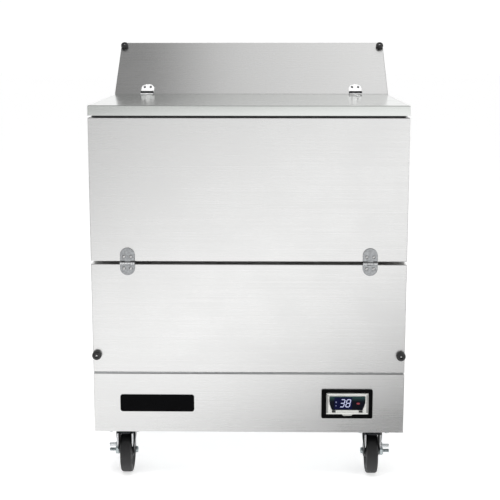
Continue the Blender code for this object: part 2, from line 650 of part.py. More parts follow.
# ================================================================ door
door_pivot = empty("door_pivot", world(0, -HINGE_AXIS, DOOR_AXIS_Z))
door_outer_pan = finish(tray("door_outer_pan", -HALF, HALF, 0.0, DOOR_PAN, Z_DOOR_BOTTOM, Z_DOOR_TOP, [(0, 1, 0)],
                             round_mm=1.8), "stainless")
door_mid_z = (Z_DOOR_BOTTOM + Z_DOOR_TOP) / 2
TO_BACK = Matrix(((1, 0, 0, 0), (0, 0, -1, 0), (0, 1, 0, 0), (0, 0, 0, 1)))
door_inner_pan = finish(dish("door_inner_pan", (431.0, 195.2), (368.0, 166.0, 0.0, 8.0), 18.0, 1.2,
                             Matrix.Translation(world(0, DOOR_PAN + 1.0, door_mid_z)) @ TO_BACK), "aluminium")
DOOR_SEAL = [(-421.0, 645.0), (421.0, 645.0), (421.0, 1026.0), (401.0, 1026.0), (401.0, 662.0),
             (-401.0, 662.0), (-401.0, 1026.0), (-421.0, 1026.0)]
door_gasket = finish(slab_front("door_gasket", [DOOR_SEAL], DOOR_PAN + 1.9, 57.7), "gasket")

# ================================================================ hinges


def leaf(name, up, height, outer_knuckles, place, tilt, kind="chrome"):
    """A butterfly hinge leaf. Its knuckles turn about local X at the origin; its plate lies at local +Y."""
    sign = 1 if up else -1
    half = HINGE_W / 2
    split = 8.0
    body = []
    clear = 0.35
    reach = KNUCKLE_R + 0.8
    # plate: full width beyond the knuckles, and only as wide as its own knuckles beside the axis
    arc = [(half * math.cos(math.radians(a)), height - half + half * math.sin(math.radians(a))) for a in range(0, 181, 15)]
    if outer_knuckles:
        root = [(-half, 0.5), (-split - clear, 0.0), (-split - clear, reach), (split + clear, reach), (split + clear, 0.0), (half, 0.5)]
    else:
        root = [(-half, reach + 0.6), (-split, reach), (-split, 0.0), (split, 0.0), (split, reach), (half, reach + 0.6)]
    shape = [(x, sign * z) for x, z in root + arc]
    m = Matrix.Translation(Vector((0, (HINGE_AXIS - GAP - HINGE_T / 2) * MM, 0))) @ FRONT_VIEW
    plate = own(name, outline_mesh([shape], HINGE_T / 2, m))
    spans = [(-half, -split - clear), (split + clear, half)] if outer_knuckles else [(-split, split)]
    for k, (a, b) in enumerate(spans):
        join(plate, cylinder("%s_knuckle%d" % (name, k), Vector(((a + b) / 2 * MM, 0, 0)), (1, 0, 0), KNUCKLE_R, b - a, 16, cutter=True))
    if outer_knuckles:
        join(plate, cylinder(name + "_pin", Vector((0, 0, 0)), (1, 0, 0), PIN_R, HINGE_W - 2.0, 12, cutter=True))
    else:
        cut(plate, cylinder(name + "_bore", Vector((0, 0, 0)), (1, 0, 0), PIN_R + 0.4, HINGE_W + 10.0, 12, cutter=True))
    # everything was made at the origin: the plate carries its knuckles there
    for mod in plate.modifiers:
        mod.object.parent = plate
    plate.location = place
    plate.rotation_euler = (tilt, 0, 0)
    return finish(plate, kind)


lid_leaves, door_leaves = [], []
for side, hx in (("left", -HINGE_X), ("right", HINGE_X)):
    door_leaves.append(leaf("door_hinge_leaf_" + side, True, HINGE_UP, False, world(hx, -HINGE_AXIS, DOOR_AXIS_Z), 0.0))
    leaf("panel_hinge_leaf_" + side, False, HINGE_DOWN, True, world(hx, -HINGE_AXIS, DOOR_AXIS_Z), 0.0)
    lid_leaves.append(leaf("lid_hinge_leaf_" + side, False, HINGE_DOWN, False, world(hx * 0.994, LID_AXIS_U, LID_AXIS_Z), -math.pi / 2))
    leaf("hood_hinge_leaf_" + side, True, HINGE_UP, True, world(hx * 0.994, LID_AXIS_U, LID_AXIS_Z), SLOPE - math.pi / 2)

hang(lid_pivot, lid_outer_pan, lid_inner_pan, lid_gasket, *lid_leaves)
hang(door_pivot, door_outer_pan, door_inner_pan, door_gasket, *door_leaves)

# ================================================================ bumpers
BUMPER = [(0, 10.5), (4.6, 10.5), (4.6, 16.0), (8.5, 16.0), (11.0, 14.6), (12.6, 11.0), (13.0, 6.0), (13.0, 0.0), (0, 0.0)]


def bumper(name, place, axis, radius, proud):
    points = [(r * radius / 13.0, GAP + h * (proud - GAP) / 16.0) for r, h in BUMPER]
    return finish(lathe(name, points, 14, place, axis), "rubber")


for side, s in (("left", -1), ("right", 1)):
    bumper("door_rest_bumper_" + side, world(s * DOOR_REST_X, 0, DOOR_REST_Z), (0, -1, 0), BUMPER_R, BUMPER_PROUD)
    bumper("lid_rest_bumper_" + side,
           world(s * LID_REST_X, U_SLOPE_TOP - LID_REST_DOWN * math.cos(SLOPE), Z_HOOD - LID_REST_DOWN * math.sin(SLOPE)),
           (0, -math.sin(SLOPE), math.cos(SLOPE)), LID_REST_R, LID_REST_PROUD)

# ================================================================ casters
TYRE = [(5.6, 17.5), (17.0, 17.5), (19.0, 13.0), (50.0, 13.0), (52.0, 16.0), (58.0, 16.0), (62.0, 14.4), (63.5, 10.5),
        (63.5, -10.5), (62.0, -14.4), (58.0, -16.0), (52.0, -16.0), (50.0, -13.0), (19.0, -13.0), (17.0, -17.5), (5.6, -17.5)]


def caster(where, x, u, braked):
    """Top plate, swivelling fork with its axle bolt, wheel, and a side brake lever on the front pair."""
    out = -1 if x < 0 else 1
    swivel = world(x, u, 0)
    plate = box("caster_plate_" + where, x - 47.0, x + 47.0, u - 46.0, u + 46.0, 149.1, 152.1)
    join(plate, cylinder("caster_race_" + where, world(x, u, 146.4), (0, 0, 1), 24.0, 6.0, 24, cutter=True))
    finish(plate, "zinc")

    fork = cylinder("caster_fork_" + where, world(x, u, 138.0), (0, 0, 1), 28.0, 10.0, 24, place=world(x, u, 138.0))
    axle_u, axle_z = u + TRAIL, WHEEL_R
    for s in (-1, 1):
        legs = [(u - 24.0, 137.0), (u + 26.0, 137.0), (axle_u + 15.0, axle_z + 2.0), (axle_u + 11.0, axle_z - 10.0),
                (axle_u, axle_z - 15.0), (axle_u - 11.0, axle_z - 10.0), (u - 24.0, 112.0)]
        a, b = sorted((x + s * 19.0, x + s * 22.5))
        join(fork, slab_side("leg_%s_%d" % (where, s), [legs], a, b, cutter=True))
        gusset = [(x + s * 20.0, 80.0), (x + s * 22.9, 80.0), (x + s * 27.0, 116.0), (x + s * 27.0, 136.0), (x + s * 20.0, 136.0)]
        join(fork, slab_front("gusset_%s_%d" % (where, s), [gusset], u - 8.0, u + 22.0, cutter=True))
    join(fork, cylinder("axle_" + where, world(x + out * 10.0, axle_u, axle_z), (1, 0, 0), 5.0, 86.0, 16, cutter=True),
         cylinder("nut_" + where, world(x + out * 29.0, axle_u, axle_z), (1, 0, 0), 13.0, 13.5, 6, cutter=True),
         cylinder("bolt_head_" + where, world(x - out * 26.3, axle_u, axle_z), (1, 0, 0), 9.0, 8.0, 16, cutter=True))
    finish(fork, "zinc")

    wheel = finish(lathe("caster_wheel_" + where, TYRE, 22, world(x, axle_u, axle_z), (1, 0, 0), closed=True), "tread")

    if braked:
        pivot_u, pivot_z = u + 10.0, 92.0
        a, b = sorted((x + out * 27.6, x + out * 30.0))
        arm = slab_side("brake_lever_" + where, [rect(pivot_u - 13.0, pivot_u + 13.0, pivot_z - 6.0, pivot_z + 6.0, 5.0, 3)],
                        a, b, place=world(x + out * 28.8, pivot_u, pivot_z))
        a, b = sorted((x + out * 29.0, x + out * 49.0))
        join(arm, box("brake_tab_" + where, a, b, pivot_u - 12.0, pivot_u - 3.0, pivot_z - 5.0, pivot_z + 5.0, cutter=True, round_mm=1.5))
        finish(arm, "zinc")
    return swivel


for where, x, u, braked in (("front_left", -CASTER_X, CASTER_U[0], True), ("front_right", CASTER_X, CASTER_U[0], True),
                            ("rear_left", -CASTER_X, CASTER_U[1], False), ("rear_right", CASTER_X, CASTER_U[1], False)):
    caster(where, x, u, braked)
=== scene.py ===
import json
import math

import bmesh
import bpy
from mathutils import Matrix, Vector


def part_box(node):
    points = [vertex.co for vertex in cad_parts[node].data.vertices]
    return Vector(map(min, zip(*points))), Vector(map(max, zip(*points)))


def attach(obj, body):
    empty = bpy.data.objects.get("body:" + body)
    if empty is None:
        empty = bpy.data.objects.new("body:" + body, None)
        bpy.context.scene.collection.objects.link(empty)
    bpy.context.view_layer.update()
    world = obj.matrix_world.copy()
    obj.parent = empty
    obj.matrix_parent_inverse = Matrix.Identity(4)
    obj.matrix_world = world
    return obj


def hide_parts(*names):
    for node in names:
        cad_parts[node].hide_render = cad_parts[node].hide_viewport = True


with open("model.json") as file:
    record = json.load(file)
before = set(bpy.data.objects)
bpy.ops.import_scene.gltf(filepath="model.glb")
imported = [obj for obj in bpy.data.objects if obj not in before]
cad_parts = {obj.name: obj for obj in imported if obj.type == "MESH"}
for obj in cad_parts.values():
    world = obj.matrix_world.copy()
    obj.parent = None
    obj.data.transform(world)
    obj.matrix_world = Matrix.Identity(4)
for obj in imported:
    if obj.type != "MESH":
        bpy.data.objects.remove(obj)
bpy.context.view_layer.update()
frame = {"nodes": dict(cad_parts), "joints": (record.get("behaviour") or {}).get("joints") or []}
NODES = frame["nodes"]

# ------------------------------------------------------------------ places, from the CAD
MM = 0.001
door_lo, door_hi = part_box("door_outer_pan")
lid_lo, lid_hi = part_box("lid_outer_pan")
low_lo, low_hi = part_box("front_lower_panel")
base_lo, base_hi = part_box("base_front_panel")
FRONT = door_lo.y
JOINT = {j["name"]: j for j in frame["joints"]}
LID_AXIS = Vector(JOINT["lid_hinge"]["pos_m"])
DOOR_AXIS = Vector(JOINT["door_hinge"]["pos_m"])
hood_lo, hood_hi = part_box("rear_hood")
LID_TOP = lid_hi.z
FOOT_Y = FRONT + 0.543
TOP_Y = FRONT + 0.737
HOOD_Z = 1.222
SLOPE = math.atan2(HOOD_Z - LID_TOP, TOP_Y - FOOT_Y)


def W(x, u, z):
    """A point from millimetres across, behind the front face, and up."""
    return Vector((x * MM, FRONT + u * MM, z * MM))


# ------------------------------------------------------------------ materials
def new_mat(name):
    mat = bpy.data.materials.new(name)
    mat.use_nodes = True
    nt = mat.node_tree
    return mat, nt, nt.nodes["Principled BSDF"]


def node(nt, kind, **settings):
    n = nt.nodes.new(kind)
    for k, v in settings.items():
        if k in n.inputs:
            n.inputs[k].default_value = v
        else:
            setattr(n, k, v)
    return n


def noise(nt, vector, scale, detail=3.0, rough=0.55):
    n = node(nt, "ShaderNodeTexNoise")
    n.inputs["Scale"].default_value = scale
    n.inputs["Detail"].default_value = detail
    n.inputs["Roughness"].default_value = rough
    nt.links.new(vector, n.inputs["Vector"])
    return n.outputs["Fac"]


def mapped(nt, scale, rotate=(0, 0, 0)):
    tc = node(nt, "ShaderNodeTexCoord")
    m = node(nt, "ShaderNodeMapping")
    m.inputs["Scale"].default_value = scale
    m.inputs["Rotation"].default_value = rotate
    nt.links.new(tc.outputs["Object"], m.inputs["Vector"])
    return m.outputs["Vector"]


def ranged(nt, value, lo, hi, from_lo=0.25, from_hi=0.75):
    n = node(nt, "ShaderNodeMapRange")
    n.inputs["From Min"].default_value = from_lo
    n.inputs["From Max"].default_value = from_hi
    n.inputs["To Min"].default_value = lo
    n.inputs["To Max"].default_value = hi
    nt.links.new(value, n.inputs["Value"])
    return n.outputs["Result"]


def math_node(nt, op, a, b):
    n = node(nt, "ShaderNodeMath", operation=op)
    for i, v in enumerate((a, b)):
        if isinstance(v, (int, float)):
            n.inputs[i].default_value = v
        else:
            nt.links.new(v, n.inputs[i])
    return n.outputs[0]


def mix_colour(nt, fac, a, b):
    n = node(nt, "ShaderNodeMix", data_type="RGBA")
    if isinstance(fac, (int, float)):
        n.inputs[0].default_value = fac
    else:
        nt.links.new(fac, n.inputs[0])
    for slot, v in ((6, a), (7, b)):
        if isinstance(v, tuple):
            n.inputs[slot].default_value = (*v, 1.0)
        else:
            nt.links.new(v, n.inputs[slot])
    return n.outputs[2]


def bump(nt, shader, height, distance, strength=1.0):
    b = node(nt, "ShaderNodeBump")
    b.inputs["Strength"].default_value = strength
    b.inputs["Distance"].default_value = distance
    nt.links.new(height, b.inputs["Height"])
    nt.links.new(b.outputs["Normal"], shader.inputs["Normal"])


def brushed(name, along, colour=(0.80, 0.80, 0.795), rough=(0.24, 0.36), grain=1.0, aniso=0.0):
    """Brushed stainless: long fine scratches along an axis, soft cloudiness and faint handling marks."""
    mat, nt, sh = new_mat(name)
    fine = [1500.0] * 3
    mid = [320.0] * 3
    fine["xyz".index(along)] = 3.0
    mid["xyz".index(along)] = 1.1
    f = noise(nt, mapped(nt, fine), 1.0, 4.0, 0.7)
    m = noise(nt, mapped(nt, mid), 1.0, 3.0, 0.6)
    cloud = noise(nt, mapped(nt, (2.1, 2.1, 2.1)), 1.0, 4.0, 0.5)
    marks = noise(nt, mapped(nt, (9.0, 9.0, 9.0)), 1.0, 6.0, 0.62)
    streak = math_node(nt, "ADD", math_node(nt, "MULTIPLY", f, 0.75), math_node(nt, "MULTIPLY", m, 0.25))
    dark = tuple(c * (1 - 0.045 * grain) for c in colour)
    light = tuple(min(1.0, c * (1 + 0.03 * grain)) for c in colour)
    base = mix_colour(nt, ranged(nt, streak, 0.0, 1.0, 0.35, 0.65), dark, light)
    tint = mix_colour(nt, ranged(nt, cloud, 0.0, 0.35), base, tuple(c * 0.975 for c in colour))
    nt.links.new(tint, sh.inputs["Base Color"])
    r = math_node(nt, "ADD", ranged(nt, streak, rough[0], rough[1], 0.35, 0.65),
                  math_node(nt, "ADD", ranged(nt, marks, -0.014, 0.022, 0.4, 0.7), ranged(nt, cloud, -0.010, 0.016)))
    nt.links.new(r, sh.inputs["Roughness"])
    sh.inputs["Metallic"].default_value = 1.0
    sh.inputs["Anisotropic"].default_value = aniso
    bump(nt, sh, f, 0.000008 * grain, 0.5)
    return mat


def metal(name, colour, rough, spot=120.0, var=0.08, bump_d=0.00004, speck=0.10):
    """Plated or cast metal: mottled roughness, slight colour shift, light pitting."""
    mat, nt, sh = new_mat(name)
    a = noise(nt, mapped(nt, (spot, spot, spot)), 1.0, 5.0, 0.6)
    b = noise(nt, mapped(nt, (spot * 6, spot * 6, spot * 6)), 1.0, 3.0, 0.6)
    nt.links.new(mix_colour(nt, ranged(nt, a, 0.0, 1.0), tuple(c * (1 - speck) for c in colour), tuple(min(1, c * (1 + speck * 0.6)) for c in colour)),
                 sh.inputs["Base Color"])
    nt.links.new(ranged(nt, a, max(0.03, rough - var), rough + var), sh.inputs["Roughness"])
    sh.inputs["Metallic"].default_value = 1.0
    bump(nt, sh, b, bump_d, 0.5)
    return mat


def galvanised(name):
    """Zinc-coated sheet: crystalline spangle patches."""
    mat, nt, sh = new_mat(name)
    v = node(nt, "ShaderNodeTexVoronoi")
    v.inputs["Scale"].default_value = 1.0
    nt.links.new(mapped(nt, (150.0, 150.0, 150.0)), v.inputs["Vector"])
    sep = node(nt, "ShaderNodeSeparateColor")
    nt.links.new(v.outputs["Color"], sep.inputs[0])
    fine = noise(nt, mapped(nt, (400, 400, 400)), 1.0, 3.0)
    nt.links.new(mix_colour(nt, sep.outputs[0], (0.50, 0.515, 0.52), (0.59, 0.605, 0.61)), sh.inputs["Base Color"])
    nt.links.new(math_node(nt, "ADD", ranged(nt, sep.outputs[1], 0.32, 0.42, 0.0, 1.0), ranged(nt, fine, -0.03, 0.03)), sh.inputs["Roughness"])
    sh.inputs["Metallic"].default_value = 1.0
    bump(nt, sh, fine, 0.00002, 0.4)
    return mat


def stucco(name):
    """Stucco-embossed aluminium liner."""
    mat, nt, sh = new_mat(name)
    v = node(nt, "ShaderNodeTexVoronoi", feature="SMOOTH_F1")
    v.inputs["Scale"].default_value = 1.0
    v.inputs["Smoothness"].default_value = 0.9
    nt.links.new(mapped(nt, (170.0, 170.0, 170.0)), v.inputs["Vector"])
    cloud = noise(nt, mapped(nt, (6, 6, 6)), 1.0, 4.0)
    nt.links.new(mix_colour(nt, ranged(nt, cloud, 0.0, 1.0), (0.66, 0.67, 0.68), (0.75, 0.76, 0.77)), sh.inputs["Base Color"])
    nt.links.new(ranged(nt, cloud, 0.30, 0.42), sh.inputs["Roughness"])
    sh.inputs["Metallic"].default_value = 1.0
    bump(nt, sh, v.outputs["Distance"], 0.0006, 0.55)
    return mat


def plastic(name, colour, rough, scale=700.0, depth=0.00003, var=0.05, coat=0.0, tone=0.18, spec=0.5):
    """Moulded plastic, rubber or enamel: fine moulded texture and slight unevenness of tone."""
    mat, nt, sh = new_mat(name)
    fine = noise(nt, mapped(nt, (scale,) * 3), 1.0, 4.0, 0.6)
    wide = noise(nt, mapped(nt, (scale * 0.05,) * 3), 1.0, 4.0, 0.6)
    nt.links.new(mix_colour(nt, ranged(nt, wide, 0.0, 1.0), tuple(c * (1 - tone) for c in colour), tuple(c * (1 + tone) for c in colour)),
                 sh.inputs["Base Color"])
    nt.links.new(math_node(nt, "ADD", ranged(nt, wide, rough - var, rough + var), ranged(nt, fine, -0.03, 0.03)), sh.inputs["Roughness"])
    sh.inputs["Coat Weight"].default_value = coat
    sh.inputs["Coat Roughness"].default_value = 0.05
    sh.inputs["Specular IOR Level"].default_value = spec
    bump(nt, sh, fine, depth, 0.6)
    return mat


def glow(name, colour, strength, back=(0.02, 0.02, 0.03)):
    """A lit segment, a little uneven."""
    mat, nt, sh = new_mat(name)
    n = noise(nt, mapped(nt, (900, 900, 900)), 1.0, 2.0)
    nt.links.new(mix_colour(nt, ranged(nt, n, 0.0, 1.0), tuple(c * 0.86 for c in colour), colour), sh.inputs["Emission Color"])
    sh.inputs["Emission Strength"].default_value = strength
    sh.inputs["Base Color"].default_value = (*back, 1)
    nt.links.new(ranged(nt, n, 0.25, 0.4), sh.inputs["Roughness"])
    return mat


STEEL_X = brushed("brushed_steel_across", "x", grain=0.3)
# painted reflection: the lid top is a darker, greener copy of the front steel, its colour standing in for the hood
# reflected in it
STEEL_TOP_PAINTED_REFLECTION = brushed("brushed_steel_top_painted_reflection", "x", (0.71, 0.73, 0.71), (0.14, 0.20), 0.3)
# painted shade: the hood steel is a darker copy of the front steel
STEEL_HOOD_PAINTED_SHADE = brushed("brushed_steel_hood_painted_shade", "x", (0.74, 0.74, 0.735), (0.24, 0.32), 0.3)
# painted shade: the side panels are a much darker copy of the front steel, so the sides read as shaded
STEEL_SIDE_PAINTED_SHADE = brushed("brushed_steel_side_painted_shade", "y", (0.60, 0.60, 0.595), (0.26, 0.36), 0.35)
GALV = galvanised("galvanised_sheet")
LINER = stucco("stucco_liner")
PAN = brushed("brushed_inner_pan", "x", (0.70, 0.70, 0.695), (0.30, 0.42), 1.2)
# painted shade: the door hinge leaves' plating is a darkened copy of the knuckle plating, below its own colour
CHROME = metal("polished_plating_painted_shade", (0.37, 0.38, 0.39), 0.15, 150.0, 0.06, 0.0003, 0.42)
# painted reflection: the lid hinge leaves are a near-white, mostly non-metal copy of the plating, standing in for the
# bright front they reflect
PLATING_PAINTED_WHITE_REFLECTION = metal("plating_painted_white_reflection", (0.97, 0.97, 0.97), 0.30, 420.0, 0.05, 0.00002, 0.02)
PLATING_PAINTED_WHITE_REFLECTION.node_tree.nodes["Principled BSDF"].inputs["Metallic"].default_value = 0.12
# painted reflection: the lid hinge knuckles are a near-black copy of the plating, standing in for the dark
# surroundings they reflect
PLATING_PAINTED_DARK_REFLECTION = metal("plating_painted_dark_reflection", (0.07, 0.07, 0.075), 0.20, 420.0, 0.05, 0.00003, 0.25)
KNUCKLE = metal("knuckle_plating", (0.72, 0.73, 0.74), 0.16, 420.0, 0.05, 0.00008, 0.16)
SCREW = metal("screw_steel", (0.70, 0.70, 0.70), 0.22, 500.0, 0.06, 0.00002, 0.10)
# painted shade: near-black for the countersink cups and, on the crowned leaves, the screw heads, standing in for
# shade in the holes
SCREW_RECESS_PAINTED_SHADE = metal("screw_recess_painted_shade", (0.16, 0.16, 0.165), 0.40, 500.0, 0.08, 0.00002, 0.2)
ZINC = metal("zinc_plating", (0.62, 0.64, 0.65), 0.28, 160.0, 0.10, 0.00003, 0.14)
# painted shade: the fork is a near-black copy of the zinc plating, standing in for its shaded flanks
FORK = metal("fork_plating_painted_shade", (0.030, 0.031, 0.034), 0.34, 140.0, 0.10, 0.00003, 0.22)
# painted highlight: a bright copy of the plating, laid as strips on the fork legs' front edges
FORK_PAINTED_HIGHLIGHT = metal("fork_painted_highlight_plating", (0.66, 0.67, 0.68), 0.30, 140.0, 0.08, 0.00003, 0.12)
COPPER = metal("copper_tube", (0.78, 0.40, 0.26), 0.26, 90.0, 0.10, 0.00003, 0.22)
FINS = metal("fin_stock", (0.70, 0.71, 0.72), 0.34, 200.0, 0.08, 0.00003, 0.10)
BLACK_PLASTIC = plastic("black_plastic", (0.0022, 0.0022, 0.0025), 0.30, 900.0, 0.00002, 0.05, spec=0.04)
BLACK_GLOSS = plastic("tinted_window", (0.004, 0.005, 0.011), 0.12, 400.0, 0.000002, 0.02, spec=0.08)
PLATE_BLACK = plastic("black_enamel", (0.0020, 0.0020, 0.0024), 0.26, 300.0, 0.000006, 0.05, spec=0.03)
BLACK_PAINT = plastic("black_paint", (0.022, 0.022, 0.024), 0.34, 260.0, 0.00006, 0.08)
RUBBER = plastic("bumper_rubber", (0.016, 0.016, 0.017), 0.46, 800.0, 0.00003, 0.07, tone=0.25)
TREAD = plastic("wheel_rubber", (0.0075, 0.0075, 0.0085), 0.56, 420.0, 0.00010, 0.10, tone=0.35)
HUB = plastic("wheel_core", (0.014, 0.014, 0.0165), 0.46, 500.0, 0.00005, 0.08)
SEAL = plastic("seal_vinyl", (0.20, 0.203, 0.21), 0.50, 600.0, 0.00003, 0.08)
FOAM = plastic("foam", (0.62, 0.52, 0.30), 0.90, 260.0, 0.0006, 0.04)
BREAKER = plastic("breaker_plastic", (0.60, 0.60, 0.585), 0.40, 500.0, 0.00003, 0.06, tone=0.05)
WIRE = plastic("epoxy_wire", (0.66, 0.66, 0.64), 0.38, 400.0, 0.00004, 0.06, tone=0.06)
PALE_FRAME = plastic("pale_frame", (0.74, 0.74, 0.71), 0.30, 700.0, 0.00001, 0.05, tone=0.06)
# painted shade: a darker copy of the pale frame plastic, for the fascia's side strips
FASCIA_SIDE_PAINTED_SHADE = plastic("shaded_frame", (0.30, 0.30, 0.29), 0.34, 700.0, 0.00001, 0.05, tone=0.08)
LCD_BLUE = plastic("panel_glass", (0.003, 0.004, 0.030), 0.12, 400.0, 0.000002, 0.02, spec=0.08, tone=0.10)
# painted sheen: the window's base colour turns from near black to teal over its top, standing in for a reflection
_nt = BLACK_GLOSS.node_tree
_tc = node(_nt, "ShaderNodeTexCoord")
_sx = node(_nt, "ShaderNodeSeparateXYZ")
_nt.links.new(_tc.outputs["Object"], _sx.inputs[0])
_painted_sheen = ranged(_nt, _sx.outputs[2], 0.0, 1.0, 0.2440, 0.2575)
_nt.links.new(mix_colour(_nt, _painted_sheen, (0.003, 0.004, 0.008), (0.022, 0.050, 0.050)), _nt.nodes["Principled BSDF"].inputs["Base Color"])
DIGIT = glow("lit_figures", (0.62, 0.65, 0.92), 1.0)
ICON = glow("lit_icons", (0.50, 0.55, 0.85), 0.45)
NUT = metal("axle_plating", (0.40, 0.44, 0.45), 0.30, 300.0, 0.05, 0.00004, 0.08)
LED = glow("lit_lamp", (0.30, 0.030, 0.045), 0.70, (0.06, 0.005, 0.008))
KEY = plastic("soft_key", (0.045, 0.045, 0.043), 0.5, 700.0, 0.00002, 0.05, spec=0.2)

# ------------------------------------------------------------------ mesh helpers


def piece(name, bm, mat, body, replaces=(), angle=32, weighted=True):
    bmesh.ops.recalc_face_normals(bm, faces=bm.faces)
    me = bpy.data.meshes.new(name)
    bm.to_mesh(me)
    bm.free()
    me.materials.append(mat)
    me.shade_smooth()
    me.set_sharp_from_angle(angle=math.radians(angle))
    o = bpy.data.objects.new(name, me)
    bpy.context.scene.collection.objects.link(o)
    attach(o, body)
    if replaces:
        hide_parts(*([replaces] if isinstance(replaces, str) else replaces))
    if weighted:
        wn = o.modifiers.new("WeightedNormal", "WEIGHTED_NORMAL")
        wn.keep_sharp = True
    return o


def block(lo, hi, r=0.0, segs=3, where=None):
    """A box in metres with rounded edges."""
    bm = bmesh.new()
    bmesh.ops.create_cube(bm, size=1.0)
    size, mid = Vector(hi) - Vector(lo), (Vector(hi) + Vector(lo)) / 2
    for v in bm.verts:
        v.co = Vector((v.co.x * size.x, v.co.y * size.y, v.co.z * size.z)) + mid
    if r:
        edges = [e for e in bm.edges if where is None or where(e)]
        bmesh.ops.bevel(bm, geom=edges, offset=r, segments=segs, profile=0.5, affect="EDGES")
    return bm


def turned(profile, segs=48, place=(0, 0, 0), axis=(0, 0, 1), phase=0.0):
    """A turned solid from (radius, height) points in metres; zero radii close it on the axis."""
    bm = bmesh.new()
    rings = []
    for r, h in profile:
        if r < 1e-9:
            rings.append([bm.verts.new((0, 0, h))])
        else:
            rings.append([bm.verts.new((r * math.cos(2 * math.pi * k / segs + phase), r * math.sin(2 * math.pi * k / segs + phase), h))
                          for k in range(segs)])
    closed = profile[0][0] > 1e-9 and profile[-1][0] > 1e-9
    pairs = list(zip(rings, rings[1:])) + ([(rings[-1], rings[0])] if closed else [])
    for a, b in pairs:
        for k in range(segs):
            k2 = (k + 1) % segs
            if len(a) == 1 and len(b) == 1:
                continue
            if len(a) == 1:
                bm.faces.new((a[0], b[k], b[k2]))
            elif len(b) == 1:
                bm.faces.new((a[k], b[0], a[k2]))
            else:
                bm.faces.new((a[k], b[k], b[k2], a[k2]))
    turn = Vector((0, 0, 1)).rotation_difference(Vector(axis)).to_matrix().to_4x4()
    bmesh.ops.transform(bm, matrix=Matrix.Translation(place) @ turn, verts=bm.verts)
    return bm


def rounded_profile(points, r, steps=3):
    """Softens the corners of a profile, apart from its ends."""
    pts = [Vector(p) for p in points]
    out = [pts[0]]
    for a, b, c in zip(pts, pts[1:], pts[2:]):
        d1, d2 = (a - b), (c - b)
        q = min(r, d1.length * 0.45, d2.length * 0.45)
        p0, p1 = b + d1.normalized() * q, b + d2.normalized() * q
        for k in range(steps + 1):
            t = k / steps
            out.append(p0 * (1 - t) ** 2 + b * 2 * t * (1 - t) + p1 * t * t)
    out.append(pts[-1])
    return [(p.x, p.y) for p in out]


def plate(loop, thickness, matrix, r=0.0, segs=2):
    """A flat outline in local X, Y, thickened to both sides of local Z, its rims rounded."""
    bm = bmesh.new()
    verts = [bm.verts.new((x, y, -thickness / 2)) for x, y in loop]
    face = bm.faces.new(verts)
    top = bmesh.ops.extrude_face_region(bm, geom=[face])
    moved = [g for g in top["geom"] if isinstance(g, bmesh.types.BMVert)]
    bmesh.ops.translate(bm, verts=moved, vec=(0, 0, thickness))
    bmesh.ops.recalc_face_normals(bm, faces=bm.faces)
    if r:
        rims = [e for e in bm.edges if abs(e.verts[0].co.z - e.verts[1].co.z) < 1e-9 and len(e.link_faces) == 2 and
                abs(e.link_faces[0].normal.dot(e.link_faces[1].normal)) < 0.3]
        bmesh.ops.bevel(bm, geom=rims, offset=r, segments=segs, profile=0.5, affect="EDGES")
    bmesh.ops.transform(bm, matrix=matrix, verts=bm.verts)
    return bm


def merge(*bms):
    out = bmesh.new()
    for bm in bms:
        me = bpy.data.meshes.new("tmp")
        bm.to_mesh(me)
        bm.free()
        out.from_mesh(me)
        bpy.data.meshes.remove(me)
    return out


def pipe(route, radius, segs=10, closed=False):
    """A round wire or tube along points, as one smooth mesh with capped ends."""
    pts = [Vector(p) for p in route]
    bm = bmesh.new()
    rings = []
    up = None
    n = len(pts)
    for i, p in enumerate(pts):
        a = pts[(i - 1) % n] if (i or closed) else pts[0]
        b = pts[(i + 1) % n] if (i < n - 1 or closed) else pts[-1]
        d = (b - a).normalized()
        if up is None:
            up = Vector((0, 0, 1)) if abs(d.z) < 0.9 else Vector((1, 0, 0))
        side = d.cross(up).normalized()
        up = side.cross(d).normalized()
        rings.append([bm.verts.new(p + side * radius * math.cos(2 * math.pi * k / segs) + up * radius * math.sin(2 * math.pi * k / segs))
                      for k in range(segs)])
    for a, b in zip(rings, rings[1:] + ([rings[0]] if closed else [])):
        for k in range(segs):
            bm.faces.new((a[k], b[k], b[(k + 1) % segs], a[(k + 1) % segs]))
    if not closed:
        bm.faces.new(rings[0])
        bm.faces.new(rings[-1][::-1])
    return bm


def bent(points, radius, steps=5, closed=False):
    pts = [Vector(p) for p in points]
    n = len(pts)
    out = [] if closed else [pts[0]]
    for i in (range(n) if closed else range(1, n - 1)):
        a, b, c = pts[(i - 1) % n], pts[i], pts[(i + 1) % n]
        r = min(radius, (b - a).length * 0.45, (c - b).length * 0.45)
        p, q = b + (a - b).normalized() * r, b + (c - b).normalized() * r
        for k in range(steps + 1):
            t = k / steps
            out.append(p * (1 - t) ** 2 + b * 2 * t * (1 - t) + q * t * t)
    if not closed:
        out.append(pts[-1])
    return out


def screw_head(place, axis, r=0.0042, h=0.0015, segs=28):
    """A pan head with a cross recess sunk in it: a turned head whose top is cut by four lobes."""
    bm = turned(rounded_profile([(0, h * 0.42), (r * 0.30, h * 0.42), (r * 0.42, h), (r * 0.62, h), (r * 0.97, h * 0.42), (r, 0), (0, 0)], r * 0.10, 2),
                segs, (0, 0, 0), (0, 0, 1))
    for v in bm.verts:
        d = math.hypot(v.co.x, v.co.y)
        if 0.2 * r < d < 0.50 * r and v.co.z > h * 0.3:
            lobe = abs(math.cos(2 * math.atan2(v.co.y, v.co.x)))
            v.co.x *= 0.62 + 0.62 * lobe
            v.co.y *= 0.62 + 0.62 * lobe
    turn = Vector((0, 0, 1)).rotation_difference(Vector(axis)).to_matrix().to_4x4()
    bmesh.ops.transform(bm, matrix=Matrix.Translation(place) @ turn, verts=bm.verts)
    return bm


